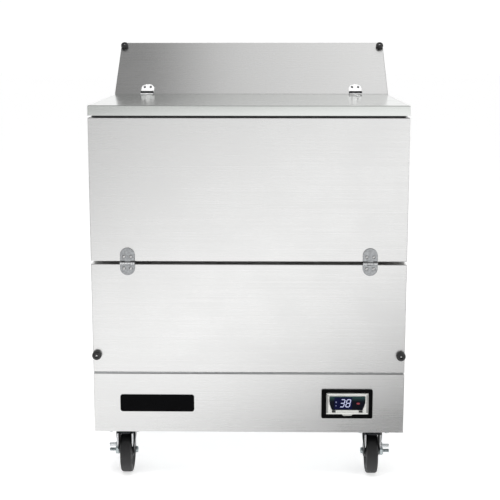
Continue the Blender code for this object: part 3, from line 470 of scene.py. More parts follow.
def sheet_tray(lo, hi, open_axis, thickness=0.0012, r=0.0022, segs=4, also_open=()):
    """A folded sheet: a box with faces taken off, its bends rounded, thickened inwards with eased rims."""
    bm = bmesh.new()
    bmesh.ops.create_cube(bm, size=1.0)
    lo, hi = Vector(lo), Vector(hi)
    size, mid = hi - lo, (hi + lo) / 2
    for v in bm.verts:
        v.co = Vector((v.co.x * size.x, v.co.y * size.y, v.co.z * size.z)) + mid
    bm.normal_update()
    gone = [f for f in bm.faces if any((f.normal - Vector(a)).length < 0.01 for a in (open_axis, *also_open))]
    bmesh.ops.delete(bm, geom=gone, context="FACES_ONLY")
    edges = [e for e in bm.edges if len(e.link_faces) == 2]
    bmesh.ops.bevel(bm, geom=edges, offset=r, segments=segs, profile=0.5, affect="EDGES", clamp_overlap=True)
    bmesh.ops.recalc_face_normals(bm, faces=bm.faces)
    mid_f = max(bm.faces, key=lambda f: f.calc_area())
    mid_f.normal_update()
    if mid_f.normal.dot(mid_f.calc_center_median() - mid) < 0:
        bmesh.ops.reverse_faces(bm, faces=bm.faces)
    bmesh.ops.solidify(bm, geom=bm.faces[:], thickness=thickness)
    return bm


def tray_piece(name, lo, hi, open_axis, mat, body, replaces, thickness=0.0012, r=0.0022, also_open=()):
    """The same, with the thickening left to a modifier so that every wall keeps its gauge."""
    bm = bmesh.new()
    bmesh.ops.create_cube(bm, size=1.0)
    lo, hi = Vector(lo), Vector(hi)
    size, mid = hi - lo, (hi + lo) / 2
    for v in bm.verts:
        v.co = Vector((v.co.x * size.x, v.co.y * size.y, v.co.z * size.z)) + mid
    bm.normal_update()
    gone = [f for f in bm.faces if any((f.normal - Vector(a)).length < 0.01 for a in (open_axis, *also_open))]
    bmesh.ops.delete(bm, geom=gone, context="FACES_ONLY")
    edges = [e for e in bm.edges if len(e.link_faces) == 2]
    bmesh.ops.bevel(bm, geom=edges, offset=r, segments=4, profile=0.5, affect="EDGES", clamp_overlap=True)
    me = bpy.data.meshes.new(name)
    bmesh.ops.recalc_face_normals(bm, faces=bm.faces)
    big = max(bm.faces, key=lambda f: f.calc_area())
    big.normal_update()
    if big.normal.dot(big.calc_center_median() - mid) < 0:
        bmesh.ops.reverse_faces(bm, faces=bm.faces)
    bm.to_mesh(me)
    bm.free()
    me.materials.append(mat)
    me.shade_smooth()
    o = bpy.data.objects.new(name, me)
    bpy.context.scene.collection.objects.link(o)
    s = o.modifiers.new("Solidify", "SOLIDIFY")
    s.thickness = thickness
    s.offset = -1.0
    s.use_even_offset = True
    wn = o.modifiers.new("WeightedNormal", "WEIGHTED_NORMAL")
    wn.keep_sharp = True
    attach(o, body)
    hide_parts(replaces)
    return o


def dress(name, mat):
    """A CAD node that keeps its shape takes a finished material."""
    me = NODES[name].data
    me.materials.clear()
    me.materials.append(mat)


FRONT_VIEW = Matrix(((1, 0, 0, 0), (0, 0, -1, 0), (0, 1, 0, 0), (0, 0, 0, 1)))
SIDE_VIEW = Matrix(((0, 0, 1, 0), (1, 0, 0, 0), (0, 1, 0, 0), (0, 0, 0, 1)))

# ------------------------------------------------------------------ sheet metal shell
# the side panels and the hood take the darker steel copies, which carry painted shade
for n, m in (("base_frame", GALV), ("compartment_deck", GALV), ("rear_panel", GALV), ("foam_insulation", FOAM),
             ("inner_liner", LINER), ("evaporator_duct", LINER), ("breaker_frame", BREAKER), ("floor_rack", WIRE),
             ("evaporator_coil", FINS), ("condenser_coil", FINS), ("evaporator_fan_motor", BLACK_PAINT),
             ("condenser_fan_motor", BLACK_PAINT), ("evaporator_fan_blade", BLACK_PLASTIC), ("condenser_fan_blade", FINS),
             ("compressor", BLACK_PAINT), ("suction_line", COPPER), ("cord_gland", BLACK_PLASTIC), ("rear_grille", GALV),
             ("side_panel_left", STEEL_SIDE_PAINTED_SHADE), ("side_panel_right", STEEL_SIDE_PAINTED_SHADE), ("rear_hood", STEEL_HOOD_PAINTED_SHADE),
             ("base_front_panel", STEEL_X), ("lid_gasket", SEAL), ("door_gasket", SEAL), ("door_inner_pan", PAN), ("lid_inner_pan", PAN),
             ("button_left", KEY), ("button_right", KEY)):
    dress(n, m)

tray_piece("door_skin", door_lo, door_hi, (0, 1, 0), STEEL_X, "door", "door_outer_pan")
tray_piece("lower_skin", low_lo, low_hi, (0, 1, 0), STEEL_X, "cabinet", "front_lower_panel")
# the lid skin takes the steel copy with the painted reflection
tray_piece("lid_skin", lid_lo, lid_hi, (0, 0, -1), STEEL_TOP_PAINTED_REFLECTION, "lid", "lid_outer_pan", r=0.0026)

# ------------------------------------------------------------------ hinges


def hinge_leaf(name, node_name, up, height, outer, place, tilt, body, half=0.0203):
    """A die-cast butterfly leaf: crowned plate, countersunk screws and its share of the knuckle."""
    sign = 1 if up else -1
    split, clear = 0.008, 0.00035
    t, gap, axis_off = 0.0025, 0.0003, 0.005
    knuckle = 0.0048 if abs(tilt) > 0.1 else 0.0042
    reach = knuckle + 0.0008
    arc = [(half * math.cos(math.radians(a)), height - half + half * math.sin(math.radians(a))) for a in range(0, 181, 6)]
    if outer:
        root = [(-half, 0.0005), (-split - clear, 0.0), (-split - clear, reach), (split + clear, reach), (split + clear, 0.0), (half, 0.0005)]
    else:
        root = [(-half, reach + 0.0006), (-split, reach), (-split, 0.0), (split, 0.0), (split, reach), (half, reach + 0.0006)]
    loop = [(x, sign * z) for x, z in root + arc[:-1]]
    if sign < 0:
        loop = loop[::-1]
    m = Matrix.Translation((0, axis_off - gap - t / 2, 0)) @ FRONT_VIEW
    parts = [plate(loop, t, m, 0.0011, 4)]
    if up and abs(tilt) > 0.1:
        inner_loop = [(x * 0.86, sign * (reach + 0.0012) + (z - sign * (reach + 0.0012)) * 0.88) for x, z in [(a, sign * b) for a, b in arc]]
        inner_loop += [(-half * 0.86, sign * (reach + 0.0012)), (half * 0.86, sign * (reach + 0.0012))]
        parts.append(plate(inner_loop, 0.0030, Matrix.Translation((0, axis_off - gap - t - 0.0008, 0)) @ FRONT_VIEW, 0.0013, 4))
    rolls = []
    spans = [(-half, -split - clear), (split + clear, half)] if outer else [(-split, split)]
    for a, b in spans:
        L = (b - a) / 2
        prof = rounded_profile([(0, L), (knuckle, L), (knuckle, 0.0010), (knuckle - 0.0007, 0.0), (knuckle, -0.0010), (knuckle, -L), (0, -L)], 0.0008, 2)
        rolls.append(turned(prof, 28, ((a + b) / 2, 0, 0), (1, 0, 0)))
    if outer:
        for s in (-1, 1):
            rolls.append(turned([(0, 0.0004), (0.0012, 0.0003), (0.0019, -0.0002), (0.0019, -0.001), (0, -0.001)][::1], 20, (s * half, 0, 0), (s, 0, 0)))
    bm = merge(*parts)
    world = Matrix.Translation(place) @ Matrix.Rotation(tilt, 4, "X")
    top = abs(tilt) > 0.1
    bmesh.ops.transform(bm, matrix=world, verts=bm.verts)
    # lid hinge leaves take the plating with a painted white reflection; door hinge leaves take the plating darkened
    # as painted shade
    piece(name, bm, PLATING_PAINTED_WHITE_REFLECTION if top else CHROME, body, node_name)
    barrel = merge(*rolls)
    bmesh.ops.transform(barrel, matrix=world, verts=barrel.verts)
    # lid hinge knuckles take the near-black plating as a painted dark reflection
    piece(name + "_knuckle", barrel, PLATING_PAINTED_DARK_REFLECTION if top else KNUCKLE, body)
    rows = (reach + 0.010, ) if height < 0.038 else (reach + 0.0125, )
    crowned = top and up
    if crowned:
        rows = (reach + 0.0200, )
    k = 0
    for sx in (-0.0095, 0.0095):
        for zz in rows:
            at = Vector((sx, axis_off - gap - t - (0.0023 if crowned else 0.0), sign * zz))
            recess = turned(rounded_profile([(0, 0.0007), (0.0030, 0.0007), (0.0047, 0.0002), (0.0050, -0.0006), (0, -0.0006)], 0.0003, 2), 26, at, (0, -1, 0))
            head = screw_head(at + Vector((0, -0.0004, 0)), (0, -1, 0), 0.0040, 0.0013)
            if crowned:
                slotted = Matrix.Translation(at) @ Matrix.Diagonal((0.78, 1.0, 1.22, 1.0)) @ Matrix.Translation(-at)
                bmesh.ops.transform(recess, matrix=slotted, verts=recess.verts)
                bmesh.ops.transform(head, matrix=slotted, verts=head.verts)
            # cups, and screw heads on crowned leaves, take the near-black painted shade instead of the plating
            for tag, b2, mt in (("cup", recess, SCREW_RECESS_PAINTED_SHADE), ("screw", head, SCREW_RECESS_PAINTED_SHADE if crowned else SCREW)):
                bmesh.ops.transform(b2, matrix=world, verts=b2.verts)
                piece("%s_%s%d" % (name, tag, k), b2, mt, body)
            k += 1


for side, s in (("left", -1), ("right", 1)):
    hx = (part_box("door_hinge_leaf_" + side)[0].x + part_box("door_hinge_leaf_" + side)[1].x) / 2
    lx = (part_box("lid_hinge_leaf_" + side)[0].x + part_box("lid_hinge_leaf_" + side)[1].x) / 2
    at = Vector((hx, DOOR_AXIS.y, DOOR_AXIS.z))
    hinge_leaf("door_hinge_upper_" + side, "door_hinge_leaf_" + side, True, 0.0420, False, at, 0.0, "door")
    hinge_leaf("door_hinge_lower_" + side, "panel_hinge_leaf_" + side, False, 0.0346, True, at, 0.0, "cabinet")
    at = Vector((lx, LID_AXIS.y, LID_AXIS.z))
    hinge_leaf("lid_hinge_front_" + side, "lid_hinge_leaf_" + side, False, 0.0346, False, at, -math.pi / 2, "lid")
    hinge_leaf("lid_hinge_rear_" + side, "hood_hinge_leaf_" + side, True, 0.0420, True, at, SLOPE - math.pi / 2, "cabinet")

# ------------------------------------------------------------------ bumpers
for kind, place_z, axis, radius, proud in (("door_rest_bumper_", None, (0, -1, 0), 0.013, 0.016),
                                           ("lid_rest_bumper_", None, (0, -math.sin(SLOPE), math.cos(SLOPE)), 0.012, 0.013)):
    for side, s in (("left", -1), ("right", 1)):
        if kind.startswith("door"):
            at = W(s * 420.0, 0, 375.0)
        else:
            at = Vector((s * 0.4205, TOP_Y - 0.020 * math.cos(SLOPE), HOOD_Z - 0.020 * math.sin(SLOPE)))
        k, q = radius / 0.013, proud / 0.016
        prof = [(0, 0.0105 * q), (0.0046 * k, 0.0105 * q), (0.0048 * k, 0.0157 * q), (0.0068 * k, 0.0160 * q), (0.0090 * k, 0.0156 * q),
                (0.0112 * k, 0.0140 * q), (0.0125 * k, 0.0112 * q), (0.0130 * k, 0.0070 * q), (0.0130 * k, 0.0022 * q), (0.0122 * k, 0.0003), (0, 0.0003)]
        piece(kind + "turned_" + side, turned(rounded_profile(prof, 0.0006, 2), 40, at, axis), RUBBER, "cabinet", kind + side)
        piece(kind + "screw_" + side, screw_head(at + Vector(axis) * (0.0105 * q), axis, 0.0040 * k, 0.0022), SCREW, "cabinet")

# ------------------------------------------------------------------ nameplate
pl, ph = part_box("nameplate")


def round_rect(x0, x1, z0, z1, r, n=8):
    pts = []
    for cx, cz, st in ((x1 - r, z0 + r, -90), (x1 - r, z1 - r, 0), (x0 + r, z1 - r, 90), (x0 + r, z0 + r, 180)):
        for k in range(n + 1):
            a = math.radians(st + 90 * k / n)
            pts.append((cx + r * math.cos(a), cz + r * math.sin(a)))
    return pts


t_plate = (ph.y - pl.y)
mid = Matrix.Translation((0, (pl.y + ph.y) / 2, 0)) @ FRONT_VIEW
piece("nameplate_blank", plate(round_rect(pl.x, ph.x, pl.z, ph.z, 0.007), t_plate, mid, 0.0005, 2), PLATE_BLACK, "cabinet", "nameplate")

# ------------------------------------------------------------------ controller
bl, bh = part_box("controller_bezel")
BX, BZ = (bl.x + bh.x) / 2, (bl.z + bh.z) / 2
fx0, fx1, fz0, fz1 = 0.2153, 0.3340, 0.2057, 0.2683


def ring_plate(outer, inner, y_front, y_back, r, lip=0.0):
    """A frame between two outlines of the same point count, front face at y_front."""
    bm = bmesh.new()
    loops = []
    for pts, y in ((outer, y_back), (outer, y_front + r), ([(x, z) for x, z in shrink(outer, r * 0.6)], y_front),
                   (shrink(inner, -r * 0.6), y_front), (inner, y_front + r), (inner, y_back)):
        loops.append([bm.verts.new((x, y, z)) for x, z in pts])
    n = len(outer)
    for a, b in zip(loops, loops[1:] + loops[:1]):
        for k in range(n):
            bm.faces.new((a[k], a[(k + 1) % n], b[(k + 1) % n], b[k]))
    return bm


def shrink(points, by):
    cx = sum(p[0] for p in points) / len(points)
    cz = sum(p[1] for p in points) / len(points)
    hx = max(p[0] for p in points) - cx
    hz = max(p[1] for p in points) - cz
    return [(cx + (x - cx) * (hx - by) / hx, cz + (z - cz) * (hz - by) / hz) for x, z in points]


def frame_outline(x0, x1, z0, z1, r, n=6, notch=None):
    """Rounded rectangle with the same number of points on every call; a notch drops the middle of the lower edge."""
    pts = round_rect(x0, x1, z0, z1, r, n)
    low = [(x0 + (x1 - x0) * k / 12, z0) for k in range(1, 12)]
    if notch:
        a0, a1, b0, b1, dz = notch
        low = []
        for k in range(1, 12):
            x = x0 + (x1 - x0) * k / 12
            low.append([x, z0])
        xs = [x0 + 0.012, x0 + 0.026, a0 - 0.0004, a0, b0, (b0 + b1) / 2, b1, a1, a1 + 0.0004, x1 - 0.026, x1 - 0.012]
        zs = [z0, z0, z0, z0, z0 - dz, z0 - dz, z0 - dz, z0, z0, z0, z0]
        low = list(zip(xs, zs))
    return low + pts


outer = frame_outline(bl.x, bh.x, bl.z, bh.z, 0.0042)
inner = frame_outline(fx0, fx1, fz0, fz1, 0.0016, notch=(0.2575, 0.2915, 0.2635, 0.2860, 0.0046))
bezel = ring_plate(outer, inner, bl.y, FRONT - 0.0003, 0.0012)
housing = block((BX - 0.062, FRONT - 0.0011, BZ - 0.0335), (BX + 0.062, FRONT + 0.055, BZ + 0.0335), 0.0015, 2)
piece("controller_frame", bezel, BLACK_PLASTIC, "cabinet", "controller_bezel", 40)
piece("controller_case", housing, BLACK_PLASTIC, "cabinet")

# pale inner frame: a dished fascia round the window
face = frame_outline(fx0 + 0.0004, fx1 - 0.0004, fz0 + 0.0004, fz1 - 0.0004, 0.0016, notch=(0.2579, 0.2911, 0.2639, 0.2856, 0.0046))
wx0, wx1, wz0, wz1 = 0.2241, 0.3246, 0.2190, 0.2580


def barrel_loop(x0, x1, z0, z1, bulge, waist, steps=14):
    pts = []
    for k in range(steps + 1):
        t = k / steps
        pts.append((x1 - waist * (1 - t) ** 2 + bulge * math.sin(math.pi * t), z0 + (z1 - z0) * t))
    for k in range(steps + 1):
        t = 1 - k / steps
        pts.append((x0 + waist * (1 - t) ** 2 - bulge * math.sin(math.pi * t), z0 + (z1 - z0) * t))
    return pts


fascia = plate(face, 0.0005, Matrix.Translation((0, FRONT - 0.00140, 0)) @ FRONT_VIEW, 0.0002, 1)
piece("controller_fascia", fascia, PALE_FRAME, "cabinet", angle=30)
rim = [merge(plate(round_rect(fx0 + 0.0030, fx1 - 0.0030, fz1 - 0.0062, fz1 - 0.0024, 0.0015, 4), 0.0022, Matrix.Translation((0, FRONT - 0.0026, 0)) @ FRONT_VIEW, 0.0005, 2))]
piece("controller_fascia_rib", rim[0], PALE_FRAME, "cabinet")
# side strips of the fascia in the darker copy: painted shade
strips = [plate(round_rect(fx0 + 0.0006, fx0 + 0.0062, fz0 + 0.004, fz1 - 0.003, 0.0012, 4), 0.0019, Matrix.Translation((0, FRONT - 0.0024, 0)) @ FRONT_VIEW, 0.0004, 2),
          plate(round_rect(fx1 - 0.0062, fx1 - 0.0006, fz0 + 0.004, fz1 - 0.003, 0.0012, 4), 0.0019, Matrix.Translation((0, FRONT - 0.0024, 0)) @ FRONT_VIEW, 0.0004, 2)]
piece("controller_fascia_sides", merge(*strips), FASCIA_SIDE_PAINTED_SHADE, "cabinet")
low_rib = plate(round_rect(fx0 + 0.0014, fx1 - 0.0014, fz0 + 0.0008, fz0 + 0.0048, 0.0012, 4), 0.0022, Matrix.Translation((0, FRONT - 0.0026, 0)) @ FRONT_VIEW, 0.0005, 2)
piece("controller_fascia_sill", low_rib, PALE_FRAME, "cabinet")
win = barrel_loop(wx0 + 0.001, wx1 - 0.001, wz0, wz1, 0.0016, 0.0070)
window = plate(win, 0.0032, Matrix.Translation((0, FRONT - 0.0031, 0)) @ FRONT_VIEW, 0.0007, 3)
piece("controller_window", window, BLACK_GLOSS, "cabinet", "display_window")

lcd = plate(round_rect(0.2385, 0.2875, 0.2215, 0.2560, 0.0012, 4), 0.0002, Matrix.Translation((0, FRONT - 0.00472, 0)) @ FRONT_VIEW)
piece("display_panel", lcd, LCD_BLUE, "cabinet", weighted=False)

# lit figures: seven-segment digits, leaning
SEG_Y = FRONT - 0.00490


def segment(x, z, length, width, vertical):
    h = width / 2
    L = length / 2
    loop = [(-L, 0), (-L + h, -h), (L - h, -h), (L, 0), (L - h, h), (-L + h, h)]
    if vertical:
        loop = [(-b, a) for a, b in loop]
    return [(x + a, z + b) for a, b in loop]


def digit(figure, x, z, w, h, t, lean=0.20):
    """Segments of one figure, its lower left corner at x, z."""
    on = {"3": "abcdg", "8": "abcdefg"}[figure]
    mids = {"a": (w / 2, h, w, False), "g": (w / 2, h / 2, w, False), "d": (w / 2, 0, w, False), "b": (w, h * 0.75, h / 2, True),
            "c": (w, h * 0.25, h / 2, True), "f": (0, h * 0.75, h / 2, True), "e": (0, h * 0.25, h / 2, True)}
    bms = []
    for s in on:
        mx, mz, length, vertical = mids[s]
        loop = [(x + px + (pz) * lean, z + pz) for px, pz in segment(mx, mz, length * 0.93, t, vertical)]
        bms.append(plate(loop, 0.00016, Matrix.Translation((0, SEG_Y, 0)) @ FRONT_VIEW))
    return bms


figures = digit("3", 0.2535, 0.2285, 0.0105, 0.0210, 0.0023) + digit("8", 0.2695, 0.2285, 0.0105, 0.0210, 0.0023)
piece("display_figures", merge(*figures), DIGIT, "cabinet", weighted=False)
marks = [plate(round_rect(0.2415, 0.2450, 0.2400, 0.2440, 0.0012, 4), 0.00016, Matrix.Translation((0, SEG_Y, 0)) @ FRONT_VIEW),
         plate(round_rect(0.2410, 0.2450, 0.2305, 0.2325, 0.0009, 4), 0.00016, Matrix.Translation((0, SEG_Y, 0)) @ FRONT_VIEW)]
piece("display_marks", merge(*marks), ICON, "cabinet", weighted=False)
lamp = [plate([(0.3045 + r * math.cos(math.radians(a)) * (1.7), 0.2382 + r * math.sin(math.radians(a))) for a in range(0, 360, 15)], 0.00016,
              Matrix.Translation((0, SEG_Y, 0)) @ FRONT_VIEW) for r in (0.0028,)]
piece("display_lamp", merge(*lamp), LED, "cabinet", weighted=False)

# ------------------------------------------------------------------ casters


def hexagon(r, h, place, axis, chamfer=0.0010, phase=0.0):
    """A hexagon nut or head with a chamfered rim."""
    bm = turned([(0, h / 2), (r * 0.84, h / 2), (r, h / 2 - chamfer), (r, -h / 2 + chamfer), (r * 0.84, -h / 2), (0, -h / 2)], 6, place, axis, phase)
    return bm


def thread(r, length, place, axis, pitch=0.00175, segs=20):
    """A bolt end with turned grooves, domed at its tip."""
    prof = [(0, length / 2)]
    prof += [(r * 0.72, length / 2), (r * 0.92, length / 2 - 0.0009)]
    z = length / 2 - 0.0009
    while z - pitch > -length / 2:
        prof += [(r, z - pitch * 0.25), (r, z - pitch * 0.40), (r * 0.84, z - pitch * 0.72), (r * 0.84, z - pitch * 0.85)]
        z -= pitch
    prof += [(r * 0.9, -length / 2), (0, -length / 2)]
    return turned(prof, segs, place, axis)


def caster(where, braked):
    body_f, body_w = "fork_" + where, "wheel_" + where
    wl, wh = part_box("caster_wheel_" + where)
    centre = (wl + wh) / 2
    j = JOINT["swivel_" + where]["pos_m"]
    sx, sy = j[0], j[1]
    out = -1 if sx < 0 else 1
    # top plate with rolled edge, race and four bolts
    plo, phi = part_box("caster_plate_" + where)
    top = block((plo.x, plo.y, phi.z - 0.003), (phi.x, phi.y, phi.z), 0.0008, 2)
    vert = [e for e in top.edges if abs(e.verts[0].co.z - e.verts[1].co.z) > 0.001]
    race = turned(rounded_profile([(0, 0.0028), (0.024, 0.0028), (0.0255, 0.0005), (0.0240, -0.0031), (0, -0.0031)], 0.0008, 2), 40, (sx, sy, phi.z - 0.0058), (0, 0, 1))
    piece("caster_top_" + where, merge(top, race), ZINC, "cabinet", "caster_plate_" + where)
    bolts = [hexagon(0.0072, 0.0042, (sx + dx, sy + dy, plo.z + 0.0036), (0, 0, -1)) for dx in (-0.037, 0.037) for dy in (-0.035, 0.035)]
    piece("caster_bolts_" + where, merge(*bolts), ZINC, "cabinet")
    # fork: crown, two pressed legs with flared shoulders
    crown = turned(rounded_profile([(0, 0.0046), (0.0265, 0.0046), (0.0280, 0.0020), (0.0280, -0.0030), (0.0262, -0.0048), (0, -0.0048)], 0.0012, 3), 48,
                   (sx, sy, 0.1382), (0, 0, 1))
    parts = [crown]
    au, az = centre.y, centre.z
    for s in (-1, 1):
        legs = [(sy - 0.024, 0.1370), (sy + 0.026, 0.1370), (au + 0.0155, az + 0.002), (au + 0.0145, az - 0.0060), (au + 0.0105, az - 0.0115),
                (au + 0.005, az - 0.0144), (au, az - 0.0150), (au - 0.005, az - 0.0144), (au - 0.0105, az - 0.0115), (sy - 0.0235, 0.1120)]
        parts.append(plate(legs, 0.0033, Matrix.Translation((sx + s * 0.02075, 0, 0)) @ SIDE_VIEW, 0.0008, 2))
        inner_x, outer_x = sx + s * 0.0215, sx + s * 0.0275
        shoulder = [(sx + s * 0.0205, 0.0800), (sx + s * 0.0228, 0.0800), (sx + s * 0.0245, 0.0960), (sx + s * 0.0268, 0.1120), (sx + s * 0.0276, 0.1220), (sx + s * 0.0274, 0.1350), (sx + s * 0.0205, 0.1350)]
        if s > 0:
            shoulder = shoulder[::-1]
        parts.append(plate(shoulder, 0.029, Matrix.Translation((0, sy + 0.0072, 0)) @ FRONT_VIEW, 0.0012, 2))
    # the yoke takes the near-black plating as painted shade
    piece("caster_yoke_" + where, merge(*parts), FORK, body_f, "caster_fork_" + where)
    # bright strips on the leg fronts: a painted highlight in a lighter copy of the plating
    strips = []
    for s in (-1, 1):
        line = [(sx + s * 0.0188, 0.1345), (sx + s * 0.0236, 0.1345), (sx + s * 0.0236, 0.1180), (sx + s * 0.0226, 0.1040), (sx + s * 0.0214, 0.0960), (sx + s * 0.0204, 0.0960), (sx + s * 0.0190, 0.1060)]
        if s < 0:
            line = line[::-1]
        strips.append(plate(line, 0.0018, Matrix.Translation((0, sy - 0.0248, 0)) @ FRONT_VIEW, 0.0004, 2))
        strips.append(block((sx + s * 0.0208 - 0.0018, sy - 0.0248, 0.1120), (sx + s * 0.0208 + 0.0018, sy - 0.020, 0.1330), 0.0004, 1))
    piece("caster_fork_painted_highlight_strips_" + where, merge(*strips), FORK_PAINTED_HIGHLIGHT, body_f)
    axle = [turned(rounded_profile([(0, 0.030), (0.005, 0.030), (0.005, -0.026), (0, -0.026)], 0.0005, 1), 20, (sx + out * 0.0, au, az), (out, 0, 0)),
            turned(rounded_profile([(0, 0.0008), (0.0120, 0.0008), (0.0122, -0.0008), (0, -0.0008)], 0.0003, 1), 32, (sx + out * 0.0234, au, az), (out, 0, 0)),
            hexagon(0.0140, 0.0100, (sx + out * 0.0300, au, az), (out, 0, 0)),
            thread(0.0050, 0.019, (sx + out * 0.0434, au, az), (out, 0, 0)),
            turned(rounded_profile([(0, 0.0040), (0.0030, 0.0040), (0.0030, 0.0020), (0.0058, 0.0020), (0.0064, 0.0034), (0.0086, 0.0030), (0.0090, 0.0010), (0.0090, -0.0038), (0, -0.0038)], 0.0006, 2), 30,
                   (sx - out * 0.0263, au, az), (-out, 0, 0))]
    piece("caster_axle_" + where, merge(*axle), NUT, body_f)
    # wheel: rubber tyre on a moulded core
    R, w = 0.0635, 0.016
    tyre = [(0.0500, 0.0128), (0.0520, 0.0152), (0.0545, 0.0160), (0.0580, 0.0160), (0.0606, 0.0154), (0.0624, 0.0136), (0.0633, 0.0106), (0.0635, 0.0060),
            (0.0635, -0.0060), (0.0633, -0.0106), (0.0624, -0.0136), (0.0606, -0.0154), (0.0580, -0.0160), (0.0545, -0.0160), (0.0520, -0.0152), (0.0500, -0.0128)]
    piece("caster_tyre_" + where, turned(tyre, 72, centre, (1, 0, 0)), TREAD, body_w, "caster_wheel_" + where, 50)
    core = [(0.0056, 0.0172), (0.0140, 0.0172), (0.0165, 0.0168), (0.0180, 0.0150), (0.0186, 0.0120), (0.0200, 0.0100), (0.0240, 0.0092), (0.0400, 0.0092),
            (0.0440, 0.0100), (0.0462, 0.0126), (0.0480, 0.0136), (0.0502, 0.0136), (0.0502, -0.0136), (0.0480, -0.0136), (0.0462, -0.0126), (0.0440, -0.0100),
            (0.0400, -0.0092), (0.0240, -0.0092), (0.0200, -0.0100), (0.0186, -0.0120), (0.0180, -0.0150), (0.0165, -0.0168), (0.0140, -0.0172), (0.0056, -0.0172)]
    piece("caster_core_" + where, turned(core, 64, centre, (1, 0, 0)), HUB, body_w, angle=50)
    ribs = []
    for k in range(8):
        a = 2 * math.pi * k / 8
        rib = block((0.0195, -0.0016, -0.0118), (0.0455, 0.0016, 0.0118), 0.0006, 2)
        turn = Matrix.Translation(centre) @ Matrix.Rotation(math.pi / 2, 4, "Y") @ Matrix.Rotation(a, 4, "Z")
        bmesh.ops.transform(rib, matrix=turn, verts=rib.verts)
        ribs.append(rib)
    piece("caster_ribs_" + where, merge(*ribs), HUB, body_w)
    if braked:
        ll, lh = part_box("brake_lever_" + where)
        mid = (ll + lh) / 2
        a, b = (lh.x - 0.0024, lh.x) if out < 0 else (ll.x, ll.x + 0.0024)
        arm = plate(round_rect(ll.y, lh.y, ll.z, lh.z, 0.0055, 6), 0.0024, Matrix.Translation(((a + b) / 2, 0, 0)) @ SIDE_VIEW, 0.0006, 2)
        t0, t1 = (ll.x, lh.x - 0.001) if out < 0 else (ll.x + 0.001, lh.x)
        tab = block((t0, ll.y + 0.001, ll.z + 0.001), (t1, ll.y + 0.010, lh.z - 0.001), 0.0028, 4)
        pin = turned(rounded_profile([(0, 0.0016), (0.0030, 0.0014), (0.0038, 0.0), (0, 0.0)], 0.0004, 2), 24, ((ll.x if out < 0 else lh.x) * 0 + (a if out < 0 else b), ll.y + 0.0185, mid.z), (out, 0, 0))
        piece("brake_pedal_" + where, merge(arm, tab, pin), ZINC, "brake_" + where, "brake_lever_" + where)


for where in ("front_left", "front_right", "rear_left", "rear_right"):
    caster(where, where.startswith("front"))

# ------------------------------------------------------------------ shared shapes for the details


def tube_loop(half_x, lo, hi, r, z, n=6):
    """A rounded rectangle in plan, as points for a wire."""
    return [W(x, u, z) for x, u in round_rect(-half_x, half_x, lo, hi, r, n)]


def swept(path, profile, closed, place):
    """A profile of (inward, height) points swept along a flat path with mitred corners, in millimetres."""
    n = len(path)
    bm = bmesh.new()
    rings = []
    for i in range(n):
        p = Vector(path[i])
        a = Vector(path[(i - 1) % n]) if (closed or i) else None
        b = Vector(path[(i + 1) % n]) if (closed or i < n - 1) else None
        d1 = (p - a).normalized() if a is not None else None
        d2 = (b - p).normalized() if b is not None else None
        d1, d2 = d1 or d2, d2 or d1
        n1, n2 = Vector((-d1.y, d1.x)), Vector((-d2.y, d2.x))
        side = (n1 + n2)
        side = side / max(1e-6, side.dot(n1))
        rings.append([bm.verts.new(place(p.x + side.x * q, p.y + side.y * q, h)) for q, h in profile])
    m = len(profile)
    for a, b in zip(rings, rings[1:] + ([rings[0]] if closed else [])):
        for k in range(m):
            bm.faces.new((a[k], b[k], b[(k + 1) % m], a[(k + 1) % m]))
    if not closed:
        bm.faces.new(rings[0])
        bm.faces.new(rings[-1][::-1])
    return bm


def stepped(loops, place, cap=True):
    """Loops of (points, height) with the same count, bridged in order, the last one capped, as one sheet."""
    bm = bmesh.new()
    rings = [[bm.verts.new(place(x, y, h)) for x, y in pts] for pts, h in loops]
    n = len(rings[0])
    for a, b in zip(rings, rings[1:]):
        for k in range(n):
            bm.faces.new((a[k], a[(k + 1) % n], b[(k + 1) % n], b[k]))
    if cap:
        bm.faces.new(rings[-1])
    return bm


def sheet(name, bm, mat, body, replaces=(), thickness=0.001, offset=-1.0, face=None, angle=35, bevel=0.0):
    """A bent sheet given its gauge by a modifier; face is the direction its outer side looks in."""
    bmesh.ops.recalc_face_normals(bm, faces=bm.faces)
    if face is not None:
        big = max(bm.faces, key=lambda f: f.calc_area() * abs(f.normal.dot(Vector(face))))
        if big.normal.dot(Vector(face)) < 0:
            bmesh.ops.reverse_faces(bm, faces=bm.faces)
    me = bpy.data.meshes.new(name)
    bm.to_mesh(me)
    bm.free()
    me.materials.append(mat)
    me.shade_smooth()
    me.set_sharp_from_angle(angle=math.radians(angle))
    o = bpy.data.objects.new(name, me)
    bpy.context.scene.collection.objects.link(o)
    s = o.modifiers.new("Solidify", "SOLIDIFY")
    s.thickness = thickness
    s.offset = offset
    s.use_even_offset = True
    if bevel:
        b = o.modifiers.new("Bevel", "BEVEL")
        b.width = bevel
        b.segments = 2
        b.limit_method = "ANGLE"
    wn = o.modifiers.new("WeightedNormal", "WEIGHTED_NORMAL")
    wn.keep_sharp = True
    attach(o, body)
    if replaces:
        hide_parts(*([replaces] if isinstance(replaces, str) else replaces))
    return o


# ------------------------------------------------------------------ hood and side panels
HALF_HOOD = 0.4303
fold = [(505.0, 1014.0), (505.0, 1031.0), (543.0, 1031.0), (543.0, 1064.3), (737.0, 1222.0), (851.0, 1222.0), (851.0, 1165.0)]
line = rounded_profile(fold, 2.2, 4)
bm = bmesh.new()
rows = [[bm.verts.new(W(x, u, z)) for x in (-430.3, -215.0, 0.0, 215.0, 430.3)] for u, z in line]
for a, b in zip(rows, rows[1:]):
    for k in range(4):
        bm.faces.new((a[k], a[k + 1], b[k + 1], b[k]))
sheet("hood_fold", bm, STEEL_HOOD_PAINTED_SHADE, "cabinet", "rear_hood", 0.0012, -1.0, (0, 0, 1), 50)

